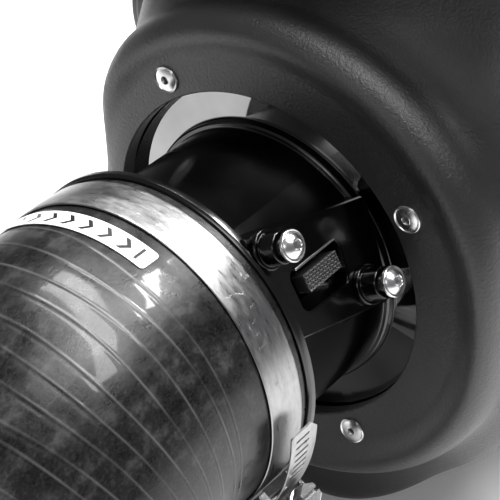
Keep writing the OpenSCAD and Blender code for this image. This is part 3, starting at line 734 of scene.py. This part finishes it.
def build_slot_screen():
    """Woven insert standing in the far end of the sensor slot, with a bright lower edge."""
    wires = []
    d = INSERT_D - 0.5
    pitch, amp, r = 1.0, 0.20, 0.27
    y0, y1, t0, t1 = 15.7, 32.0, 0.9, 6.0
    for i in range(int((y1 - y0) / pitch) + 1):
        run = [(t1 - t0) * k / 60 for k in range(61)]
        line = [(y0 + i * pitch, t0 + x, d + amp * math.cos(math.pi * (x / pitch + i))) for x in run]
        wires.append(tube_along(line, r, 6))
    for j in range(int((t1 - t0) / pitch) + 1):
        run = [(y1 - y0) * k / 90 for k in range(91)]
        line = [(y0 + x, t0 + j * pitch, d - amp * math.cos(math.pi * (x / pitch + j))) for x in run]
        wires.append(tube_along(line, r, 6))
    new_piece("slot_mesh", on_pad(join(wires)), WEAVE, ["slot_screen"], 60)
    block = prism(rounded_rect(15.4, 0.6, 32.3, 6.25, 0.9, 4), LEDGE + 0.05, d - 0.3, 0.2)
    new_piece("slot_insert_block", on_pad(block), RUBBER, (), 40)
    edges = [prism(rounded_rect(15.6, 0.42, 32.2, 0.72, 0.1, 3), LEDGE + 0.1, d + 0.2, 0.05),
             prism(rounded_rect(12.0, 9.5, 33.6, 10.3, 0.35, 5), LEDGE - 0.2, PAD_D - 0.25, 0.15)]
    new_piece("slot_insert_edges", on_pad(join(edges)), ZINC, (), 40)


def tube_along(line, r, sides):
    """A round wire along a polyline, ends closed."""
    p = np.asarray(line, float)
    tan = np.gradient(p, axis=0)
    tan /= np.linalg.norm(tan, axis=1)[:, None]
    ref = np.array([0.0, 0.0, 1.0]) if abs(tan[0][2]) < 0.8 else np.array([1.0, 0.0, 0.0])
    side = np.cross(tan, ref)
    side /= np.linalg.norm(side, axis=1)[:, None]
    up = np.cross(side, tan)
    a = np.arange(sides) * 2 * math.pi / sides
    ring = np.cos(a)[None, :, None] * side[:, None] + np.sin(a)[None, :, None] * up[:, None]
    v = p[:, None] + r * ring
    faces = list(grid_faces(len(p), sides, False, True))
    faces.append(list(range(sides)))
    faces.append(list(range((len(p) - 1) * sides, len(p) * sides))[::-1])
    return v.reshape(-1, 3), faces


def axis_ring(name, profile, seg, mat, node, sharp):
    """A piece turned round the intake axis, from a profile of (radius, y)."""
    new_piece(name, move(revolve(profile, seg), AXIS_M), mat, [node], sharp)


def build_gasket():
    section = rounded_rect(PORT_R + 0.5, 54.02, 71.9, 54.98, 0.2, 2)
    axis_ring("port_gasket_ring", section, 200, RUBBER, "port_gasket", 40)


build_housing()
build_slot_screen()
build_gasket()


# ---------------------------------------------------------------- hose
HOSE_END_Y = -RIM_T


def hose_frame(s):
    """A point on the hose's centreline, and the direction outwards of the bend."""
    lead = HOSE_END_Y - BEND_Y
    if s < lead:
        return np.array([0, HOSE_END_Y - s, 0.0]), np.array([0, 0, 1.0])
    a = (s - lead) / BEND_R
    if a < math.pi / 2:
        return (np.array([0, BEND_Y - BEND_R * math.sin(a), -BEND_R * (1 - math.cos(a))]),
                np.array([0, -math.sin(a), math.cos(a)]))
    down = s - lead - BEND_R * math.pi / 2
    return np.array([0, BEND_Y - BEND_R, -BEND_R - down]), np.array([0, -1.0, 0])


def hose_rings(s, t, radius):
    """Points round the centreline at the lengths s, at the angles t."""
    centre = np.array([hose_frame(x)[0] for x in s])
    outward = np.array([hose_frame(x)[1] for x in s])
    side = np.array([1.0, 0, 0])
    ring = np.cos(t)[None, :, None] * outward[:, None] + np.sin(t)[None, :, None] * side
    return (centre[:, None] + radius * ring).reshape(-1, 3)


def hose_uv(s, t):
    return np.stack([np.tile(t * HOSE_R, (len(s), 1)), np.tile(s[:, None], (1, len(t)))], 2).reshape(-1, 2)


def build_hose():
    """The moulded elbow: its skin carries the fine ridges left by the wrapping tape."""
    lead = HOSE_END_Y - BEND_Y
    total = lead + BEND_R * math.pi / 2 + LEG
    rng = random.Random(7)
    ridges = [lead - 2.0]
    while ridges[-1] < total - 12:
        ridges.append(ridges[-1] + rng.uniform(4.0, 7.4))
    ridges = np.array(ridges[1:])
    ns, nt = ((900, 360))
    s = np.linspace(0, total, ns)
    t = math.pi + np.linspace(0, 2 * math.pi, nt, endpoint=False)
    wave = np.zeros((ns, nt))
    line = np.zeros((ns, nt))
    for k, ridge in enumerate(ridges):
        wander = 0.55 * np.sin(t + k * 2.1) + 0.35 * np.sin(2 * t + k * 1.3) + 0.2 * np.sin(5 * t + k)
        d = s[:, None] - ridge - wander[None, :]
        wave += 0.07 * np.exp(-(d / 0.20) ** 2) - 0.05 * np.exp(-((d - 0.6) / 0.5) ** 2)
        # painted highlight along each ridge, its strength faded at random round the hose
        fade = 0.55 + 0.45 * np.sin(3 * t + k * 1.7)[None, :] * np.sin(7 * t + k)[None, :]
        line += np.exp(-(d / 0.22) ** 2) * np.clip(fade, 0.05, 1) * rng.uniform(0.35, 1.0)
    swell = 0.10 * np.sin(2 * t + 0.4)[None, :] * np.sin(s / 17.0)[:, None]
    end = np.minimum(s, total - s)
    roll = np.where(end < 0.8, 0.8 - np.sqrt(np.maximum(0.64 - (0.8 - end) ** 2, 0)), 0)
    flat = 1 - ramp(lead - s, 2, 6)[:, None]
    radius = HOSE_R - 0.2 + (wave + swell) * flat - roll[:, None]
    ni = 160
    si = np.linspace(total, 0, ni)
    verts = np.vstack([hose_rings(s, t, radius[..., None]), hose_rings(si, t, SPIGOT_R + 0.03)])
    faces = grid_faces(ns + ni, nt, True, True)
    uv = np.vstack([hose_uv(s, t), hose_uv(si, t)])
    obj = new_piece("hose_elbow", (verts, faces), [HOSE, HOSE_CUT],
                    ["hose_bend", "hose_leg"], 50, uv=uv)
    # the painted ridge highlight, stored per vertex for the hose material
    attr = obj.data.attributes.new("wrap_ridge_highlight", "FLOAT", "POINT")
    values = np.zeros(len(obj.data.vertices), np.float32)
    values[:ns * nt] = np.clip(line * flat, 0, 1).ravel()
    attr.data.foreach_set("value", values)
    cut_rows(obj, nt, ns, ni)


def cut_rows(obj, nt, ns, ni):
    """The cut ends show the fabric plies."""
    for p in obj.data.polygons:
        row = {v // nt for v in p.vertices}
        if row <= {0, 1, ns + ni - 1} or row <= {ns - 2, ns - 1, ns}:
            p.material_index = 1


def build_label():
    """Blank white label with a plain row of chevrons, wrapped round the hose."""
    a0, a1 = math.radians(70), math.radians(136)
    y0, w = -34.4, 8.2
    r = HOSE_R + 0.06
    edge = rounded_rect(a0 * r, y0, a1 * r, y0 + w, 1.4, 6)
    wrap(edge, r, 0.24, "label_film_strip", FILM, ["hose_label"])
    y = y0 + 1.5
    for k in range(7):
        x = a0 * r + 8.5 + k * 7.2
        mark = [(x + 3.4, y), (x + 1.0, y + 2.6), (x + 3.4, y + 5.2), (x + 1.7, y + 5.2),
                (x - 0.7, y + 2.6), (x + 1.7, y)]
        wrap(mark, r + 0.23, 0.06, f"label_chevron_{k}", INK, ())
    x0, x1 = a0 * r + 4.2, a0 * r + 5.2
    wrap([(x0, y), (x1, y), (x1, y + 5.2), (x0, y + 5.2)], r + 0.23, 0.06, "label_rule", INK, ())


def wrap(outline, r, thick, name, mat, nodes):
    """An outline in (arc length, y) bent round the intake axis as a thin solid."""
    low, high = min(p[0] for p in outline), max(p[0] for p in outline)
    flat = prism(np.array([p[:2] for p in outline]), 0, thick)
    n = int((high - low) / 1.5)
    obj = temp_object(*flat)
    mesh = bmesh.new()
    mesh.from_mesh(obj.data)
    for k in range(1, n + 1):
        x = low + (high - low) * k / (n + 1)
        bmesh.ops.bisect_plane(mesh, geom=mesh.verts[:] + mesh.edges[:] + mesh.faces[:], plane_co=(x, 0, 0),
                               plane_no=(1, 0, 0), dist=1e-5)
    verts = np.array([v.co for v in mesh.verts])
    mesh.verts.index_update()
    faces = [[v.index for v in p.verts][::-1] for p in mesh.faces]
    mesh.free()
    bpy.data.objects.remove(obj)
    a, rr = verts[:, 0] / r, r + verts[:, 2]
    bent = np.stack([rr * np.cos(a), verts[:, 1], rr * np.sin(a)], 1)
    new_piece(name, (bent, faces), mat, nodes, 35)


build_hose()
build_label()


# ---------------------------------------------------------------- clamps
BAND_T, GAP, SLIDE_GAP, BAND_W = 0.7, 0.05, 0.35, 15.0
THREAD_R = 3.9
TAIL_IN = HOSE_R + GAP + BAND_T + 5.45
TAIL_OUT = TAIL_IN + BAND_T
TAIL_W = 13.0
TAIL_END = 35.7
SCREW_X = TAIL_OUT + SLIDE_GAP + THREAD_R


def band_mesh():
    """Strip round the hose, a little bowed, with rolled edges."""
    ri, ro, h = HOSE_R + GAP + 0.02, HOSE_R + GAP + BAND_T, BAND_W / 2
    z = np.linspace(-h + 0.35, h - 0.35, 23)
    bow = ro - 0.10 * (z / h) ** 2
    prof = [(ri, h - 0.2), (ri, -h + 0.2), (ri + 0.2, -h), (ro - 0.35, -h), (ro - 0.18, -h + 0.12)]
    prof += list(zip(bow, z)) + [(ro - 0.18, h - 0.12), (ro - 0.35, h), (ri + 0.2, h)]
    return revolve(prof, 360)


def tail_mesh():
    """Free end of the band: runs through the saddle and stands off the band."""
    prof = rounded_rect(TAIL_IN, -TAIL_W / 2, TAIL_OUT, TAIL_W / 2, 0.18, 3)
    strip = revolve(prof, 60, True, math.radians(-14), math.radians(14 + TAIL_END))
    tools = []
    for k in range(18):
        slot = move(prism(rounded_rect(-0.4, -3.35, 0.4, 3.35, 0.38, 4), -2, 3),
                    frame_matrix((TAIL_IN, 0, 0.9), (0, 1, 0), (0, 0, 1)))
        tools.append(cut(turned(slot, TAIL_END - 2.6 - 2.45 * k)))
    for z, clip in ((-TAIL_W / 2, 3.1), (TAIL_W / 2, 0.6)):
        corner = move(prism([(-clip, 0), (0, -clip), (clip, 0), (0, clip)], -2, 3),
                      frame_matrix((TAIL_IN, 0, z), (0, 1, 0), (0, 0, 1)))
        tools.append(cut(turned(corner, TAIL_END)))
    v, f = combine(strip[:2], tools)
    uv = np.stack([np.arctan2(v[:, 1], v[:, 0]) * TAIL_OUT, v[:, 2]], 1)
    return v, f, uv


def saddle_mesh():
    """Folded housing: feet on the band, a bridge under the tail and an arched roof over the worm."""
    half = 8.0
    low = HOSE_R + GAP + BAND_T + 0.08
    arc = np.linspace(0.12, math.pi - 0.12, 25)
    roof = [(5.5 * math.cos(x), SCREW_X + 5.5 * math.sin(x)) for x in arc]
    vault = [(4.4 * math.cos(x), SCREW_X + 4.4 * math.sin(x)) for x in arc[::-1]]
    outer = [(-8.4, low + 0.35, 0.5), (8.4, low + 0.35, 0.5), (8.4, SCREW_X - 1.6, 1.2)]
    outer += [(5.9, SCREW_X - 0.6, 0.8)] + roof + [(-5.9, SCREW_X - 0.6, 0.8), (-8.4, SCREW_X - 1.6, 1.2)]
    top = TAIL_OUT + SLIDE_GAP
    inner = [(-7.0, top, 0.2), (-4.4, top + 0.2, 0.2)] + vault + [(4.4, top + 0.2, 0.2), (7.0, top, 0.2)]
    bridge = TAIL_IN - SLIDE_GAP
    shell = prism(fillet(outer, 0.1, 3), -half, half, 0.25)
    inner = inner[::-1] + [(-7.0, bridge, 0.2), (7.0, bridge, 0.2)]
    cavity = prism(fillet(inner, 0.1, 3), -half - 1, half + 1)
    relief = prism(rounded_rect(-5.6, low - 2, 5.6, bridge - 0.9, 0.8, 4), -half - 1, half + 1)
    m = frame_matrix((0, 0, 0), (0, 0, 1), (1, 0, 0))
    v, f = combine(move(shell, m), [cut(move(cavity, m)), cut(move(relief, m)), cut(rod(low, -12, 12, 360))])
    uv = np.stack([v[:, 1] * 2, v[:, 2] * 2 + v[:, 0]], 1)
    return v, f, uv


def worm_mesh():
    """Worm thread, neck, washer collar and slotted hexagon head, along local Y."""
    ns, nt = 170, 40
    y = np.linspace(-10, 8, ns)
    t = np.linspace(0, 2 * math.pi, nt, endpoint=False)
    wave = np.abs(((y[:, None] / 2.5 - t[None, :] / (2 * math.pi)) % 1) - 0.5) * 2
    r = 3.05 + 0.82 * np.clip((wave - 0.25) / 0.45, 0, 1)
    r *= (1 - 0.25 * ramp(-9.4 - y, -0.6, 0.6))[:, None]
    grid = np.stack([r * np.sin(t)[None, :], np.tile(y[:, None], (1, nt)), r * np.cos(t)[None, :]], 2)
    faces = list(grid_faces(ns, nt, False, True, True))
    faces.append(list(range(nt))[::-1])
    faces.append(list(range((ns - 1) * nt, ns * nt)))
    worm = (grid.reshape(-1, 3), faces)
    m = frame_matrix((0, 0, 0), (1, 0, 0), (0, 0, -1))
    neck = revolve(fillet([(NEAR_AXIS, 7.5), (2.9, 7.5), (2.9, 11), (4.4, 11, 0.3), (4.4, 12.4, 0.4),
                           (3.3, 12.6), (3.3, 13), (NEAR_AXIS, 13)], 0.1, 3), 64)
    head = prism(fillet(hexagon(4.04), 0.25, 3), 12.0, 18.0, 0.3)
    dome = revolve([(NEAR_AXIS, 11.9), (5, 11.9), (5, 16.9), (3.55, 18.02), (NEAR_AXIS, 18.2)], 64)
    head = combine(move(head, m), [("INTERSECT", move(dome, m))])
    slot = prism([(-0.6, -6), (0.6, -6), (0.6, 6), (-0.6, 6)], 15.6, 20)
    v, f = combine(worm, [add(move(neck, m)), add(head), cut(move(slot, m))])
    return v + np.array([SCREW_X, 0, 0]), f


def build_clamp(prefix, origin, x, y):
    m = frame_matrix(origin, x, y)
    for part, (v, f, uv), body in (("band", band_mesh(), "airbox"), ("saddle", saddle_mesh(), "airbox"),
                                   ("tail", tail_mesh(), f"{prefix}_clamp_tail")):
        new_piece(f"{prefix}_clamp_{part}_strip", move((v, f), m), BAND,
                  [f"{prefix}_clamp_{part}"], 35, body, uv)
    new_piece(f"{prefix}_clamp_worm_screw", move(worm_mesh(), m), STAINLESS,
              [f"{prefix}_clamp_screw"], 35, f"{prefix}_clamp_screw")


def around_y(angle):
    a = math.radians(angle)
    return (math.cos(a), 0, math.sin(a)), (-math.sin(a), 0, math.cos(a))


build_clamp("rim", (0, -14.4, 0), *around_y(-34))
build_clamp("filter", (0, 82, 0), *around_y(60))
_turn = math.radians(200)
build_clamp("end", (0, BEND_Y - BEND_R, -BEND_R - LEG + 13.5),
            (math.cos(_turn), math.sin(_turn), 0), (-math.sin(_turn), math.cos(_turn), 0))


# ---------------------------------------------------------------- filter
MEDIA_Y, MEDIA_LEN = 104.0, 126.0


def build_filter():
    prof = fillet([(SPIGOT_R + 0.06, 66, 0.6), (55.75, 66, 0.8), (55.75, 88, 0.3), (55.2, 88.4),
                   (55.2, 90), (55.75, 90.4), (55.75, 96, 1.5), (63.9, 96, 1.6), (63.9, 104, 1.0),
                   (46.2, 104), (46.2, 98, 0.5), (SPIGOT_R + 0.06, 98, 0.5)], 0.3, 4)
    axis_ring("filter_collar_moulding", prof, 200, FOAM, "filter_collar", 35)
    prof = [(NEAR_AXIS, 230.0), (47.9, 230, 0.6), (47.9, 236, 1.5), (45, 239, 1.5), (40, 239, 0.6),
            (38.5, 237.6, 0.6), (20, 237.6, 0.6), (18.5, 239, 0.6), (NEAR_AXIS, 239)]
    axis_ring("filter_cap_moulding", fillet(prof, 0.1, 4), 200, FOAM, "filter_cap", 35)
    pleats, per = 54, 8
    t = np.linspace(0, 2 * math.pi, pleats * per, endpoint=False)
    saw = np.abs((np.arange(pleats * per) % per) / per * 2 - 1)
    s = np.linspace(0, 1, 25)
    outer = 61 - 16 * s
    rows = []
    for offset, order in ((0.0, 1), (-1.1, -1)):
        r = (outer[:, None] - 0.3 - (12.2 * (1 - saw))[None, :] + offset)[::order]
        h = np.tile((MEDIA_Y + 0.2 + (MEDIA_LEN - 0.4) * s)[::order, None], (1, len(t)))
        rows.append(np.stack([r * np.cos(t), r * np.sin(t), h], 2))
    grid = np.concatenate(rows)
    pleat_faces = grid_faces(len(grid), len(t), True, True, True)
    new_piece("filter_pleats", move((grid.reshape(-1, 3), pleat_faces), AXIS_M), MEDIA,
              ["filter_media"], 20)
    wires = []
    for k in range(48):
        a = 2 * math.pi * k / 48
        line = [((61.45 - 16 * q) * math.cos(a), (61.45 - 16 * q) * math.sin(a), MEDIA_Y + 0.5 + 125 * q)
                for q in (0, 0.5, 1)]
        wires.append(tube_along(line, 0.32, 6))
    for k in range(26):
        q = k / 25
        prof = [(61.45 - 16 * q + 0.32 * math.cos(x), MEDIA_Y + 0.6 + 124.8 * q + 0.32 * math.sin(x))
                for x in np.linspace(0, 2 * math.pi, 6, endpoint=False)]
        wires.append(revolve(prof, 120)[:2])
    new_piece("filter_wire_cage", move(join(wires), AXIS_M), WIRE, ["filter_cage"], 60)


def build_flow_screen():
    cells = []
    size, wall, reach = 2.35, 0.14, 43.2
    y0, y1 = 66.2, 70.8
    dx, dz = size * math.sqrt(3), size * 1.5
    corners = [math.radians(60 * i + 30) for i in range(6)]
    for j in range(-20, 21):
        for i in range(-14, 15):
            cx, cz = (i + 0.5 * (j % 2)) * dx, j * dz
            if math.hypot(cx, cz) > reach:
                continue
            v, f = [], []
            for r, h in ((size - 0.02, y0), (size - 0.02, y1), (size - wall, y1), (size - wall, y0)):
                v += [(cx + r * math.cos(a), h, cz + r * math.sin(a)) for a in corners]
            for k in range(4):
                for q in range(6):
                    a, b = k * 6 + q, k * 6 + (q + 1) % 6
                    c, d = ((k + 1) % 4) * 6 + (q + 1) % 6, ((k + 1) % 4) * 6 + q
                    f.append([a, b, c, d])
            cells.append((np.array(v), f))
    rim = revolve(rounded_rect(44.6, 66.05, 47.7, 70.95, 0.3, 2), 160)
    cells.append(move(rim, AXIS_M))
    new_piece("honeycomb_screen", join(cells), CELLS, ["flow_screen"], 25)


def build_circlip():
    gap_half = math.radians(5.5)
    section = rounded_rect(44.4, 71.25, 47.7, 72.65, 0.2, 2)
    ends = [revolve(section, 150, True, gap_half, 2 * math.pi - 2 * gap_half)[:2]]
    lug = combine(prism(rounded_rect(-2.0, -1.9, 2.0, 1.9, 1.2, 5), 71.25, 72.65, 0.15),
                  [cut(rod(0.9, 70, 74, 24))])
    for side in (1, -1):
        a = side * (gap_half + 0.03)
        ends.append(shift(lug, (43.2 * math.cos(a), 43.2 * math.sin(a), 0)))
    new_piece("screen_retaining_ring", move(join(ends), AXIS_M), ZINC, ["screen_circlip"], 35)


build_filter()
build_flow_screen()
build_circlip()


# ---------------------------------------------------------------- inlet, ears, grommets
SLEEVE_R = 10


def build_inlet():
    _, cy, cz = node_centre("inlet_stub")
    m = frame_matrix((BOX_X0, cy, cz), (0, 0, 1), (0, 1, 0))
    prof = fillet([(37, 0.05), (51.8, 0.05), (51.8, 4, 0.8), (40, 4, 2.0), (39.2, 6), (39.2, 54, 0.6),
                   (39.9, 55.5, 0.8), (39.9, 59, 0.8), (39.2, 60.5, 0.6), (39.2, 63, 0.8), (37, 63, 0.8)],
                  0.3, 4)
    tools = [cut(cylinder_z(2.75, -1, 6, on_circle(INLET_SCREW_R, 45 + 90 * k), 40)) for k in range(4)]
    v, f = prism(np.array([(38.5, 3.0), (48.5, 3.0), (39.0, 16.0)]), -1.1, 1.1, 0.2)
    rib = (v @ np.array([[1, 0, 0], [0, 0, 1], [0, -1, 0]]), f)
    tools += [add(turned(rib, 22.5 + 45 * k)) for k in range(8)]
    duct = combine(revolve(prof, 200)[:2], tools)
    new_piece("inlet_duct", move(duct, m), PLASTIC, ["inlet_stub"], 35)


def ear_places():
    """Where the two ears' sleeves stand, SLEEVE_R inside the box that holds both."""
    low, high = [[(c - a) / MM for c, a in zip(p, AXIS)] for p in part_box("ear_sleeves")]
    return [(high[0] - SLEEVE_R, low[1] + SLEEVE_R, low[2]), (low[0] + SLEEVE_R, high[1] - SLEEVE_R, low[2])]


def build_ears():
    sleeve = revolve(fillet([(3.3, 0), (5.45, 0), (5.45, 14, 0.1), (9.9, 14, 0.3), (9.9, 15.5, 0.5),
                             (3.3, 15.5, 0.5)], 0.3, 4), 72)
    grommet = revolve(fillet([(5.5, 0.05), (12.4, 0.05, 1.2), (12.4, 3, 0.3), (9, 3, 0.2), (9, 11, 0.2),
                              (12.4, 11, 0.3), (12.4, 13.95, 1.2), (5.5, 13.95)], 0.3, 5), 72)
    at = [Matrix.Translation(p) for p in ear_places()]
    new_piece("ear_sleeve_pair", copies(sleeve, at), ZINC, ["ear_sleeves"], 35)
    new_piece("ear_grommet_pair", copies(grommet, at), RUBBER, ["ear_grommets"], 35)
    end = [(15 * math.cos(a), 15 * math.sin(a)) for a in np.linspace(-math.pi / 2, math.pi / 2, 25)]
    ear = combine(prism([(-18, -15)] + end + [(-18, 15)], 3, 11, 0.8), [cut(rod(9, 0, 14))])
    ears = [shift(turned(ear, turn), place) for place, turn in zip(ear_places(), (0, 90))]
    new_piece("mount_ear_pair", join(ears), PLASTIC, ["mount_ears"], 35)


def build_drain():
    plug = revolve(fillet([(3, 0.5), (7.9, 0.5), (7.9, 4, 0.2), (10.9, 4, 0.3), (10.9, 6.5, 1.0),
                           (3, 6.5, 0.6)], 0.3, 4), 64)
    x, y, _ = node_centre("drain_grommet")
    new_piece("drain_plug", shift(plug, (x, y, FLOOR_Z)), RUBBER, ["drain_grommet"], 35)


build_inlet()
build_ears()
build_drain()

for _name, _mat in (("lid_seal", RUBBER), ("lid_inserts", BRASS)):
    _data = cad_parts[_name].data
    _data.materials.clear()
    _data.materials.append(_mat)


# ---------------------------------------------------------------- floor, light and camera
def floor():
    mat = textured("pale_floor", 0.86, 0.90, (0.55, 0.65), 60, 0.0002, 0.05)
    shader = mat.node_tree.nodes["Principled BSDF"]
    shader.inputs["Emission Color"].default_value = (1, 1, 1, 1)
    shader.inputs["Emission Strength"].default_value = 0.12
    mesh = bpy.data.meshes.new("floor")
    half = 4.0
    corners = [(-half, -half, 0), (half, -half, 0), (half, half, 0), (-half, half, 0)]
    mesh.from_pydata(corners, [], [(0, 1, 2, 3)])
    obj = bpy.data.objects.new("floor", mesh)
    mesh.materials.append(mat)
    bpy.context.scene.collection.objects.link(obj)


def softbox(name, direction, distance, width, height, power, target):
    light = bpy.data.lights.new(name, "AREA")
    light.shape = "RECTANGLE"
    light.size = width
    light.size_y = height
    light.energy = power
    obj = bpy.data.objects.new(name, light)
    d = Vector(direction).normalized()
    obj.location = Vector(target) + d * distance
    obj.rotation_euler = d.to_track_quat("Z", "Y").to_euler()
    bpy.context.scene.collection.objects.link(obj)


def camera():
    """A long lens looking down on the joint from the front right."""
    azimuth, elevation, distance = math.radians(36.71), math.radians(35.57), 0.5784
    aim = Vector(to_row((11.4, 27.2, 20.9)))
    back = Vector((math.sin(azimuth) * math.cos(elevation), -math.cos(azimuth) * math.cos(elevation),
                   math.sin(elevation)))
    data = bpy.data.cameras.new("camera")
    data.lens = 131.0
    data.sensor_width = 36.0
    data.clip_start = 0.01
    obj = bpy.data.objects.new("camera", data)
    obj.location = aim + back * distance
    obj.rotation_euler = back.to_track_quat("Z", "Y").to_euler()
    bpy.context.scene.collection.objects.link(obj)
    bpy.context.scene.camera = obj


floor()
_look = to_row((0, -40, 0))
softbox("key_overhead", (0.24, 0.0, 0.97), 1.1, 0.40, 0.35, 2.5, _look)
softbox("overhead_strip", (0.05, 0.27, 0.96), 1.1, 1.4, 0.16, 23, _look)
softbox("rear_strip", (0.19, 0.54, 0.82), 1.3, 0.38, 0.10, 14, _look)
softbox("front_fill", (0.05, -0.80, 0.55), 1.4, 0.6, 0.4, 4.0, _look)
softbox("crest_light", (0.1, 0.78, 0.62), 1.3, 0.6, 0.3, 5, _look)
softbox("tube_fill", (-0.38, 0.67, 0.62), 1.3, 0.5, 0.4, 1.5, _look)
camera()

world = bpy.data.worlds.new("studio")
world.use_nodes = True
world.node_tree.nodes["Background"].inputs["Color"].default_value = (0.55, 0.56, 0.58, 1)
world.node_tree.nodes["Background"].inputs["Strength"].default_value = 0.30
bpy.context.scene.world = world
bpy.context.scene.view_settings.view_transform = "Standard"
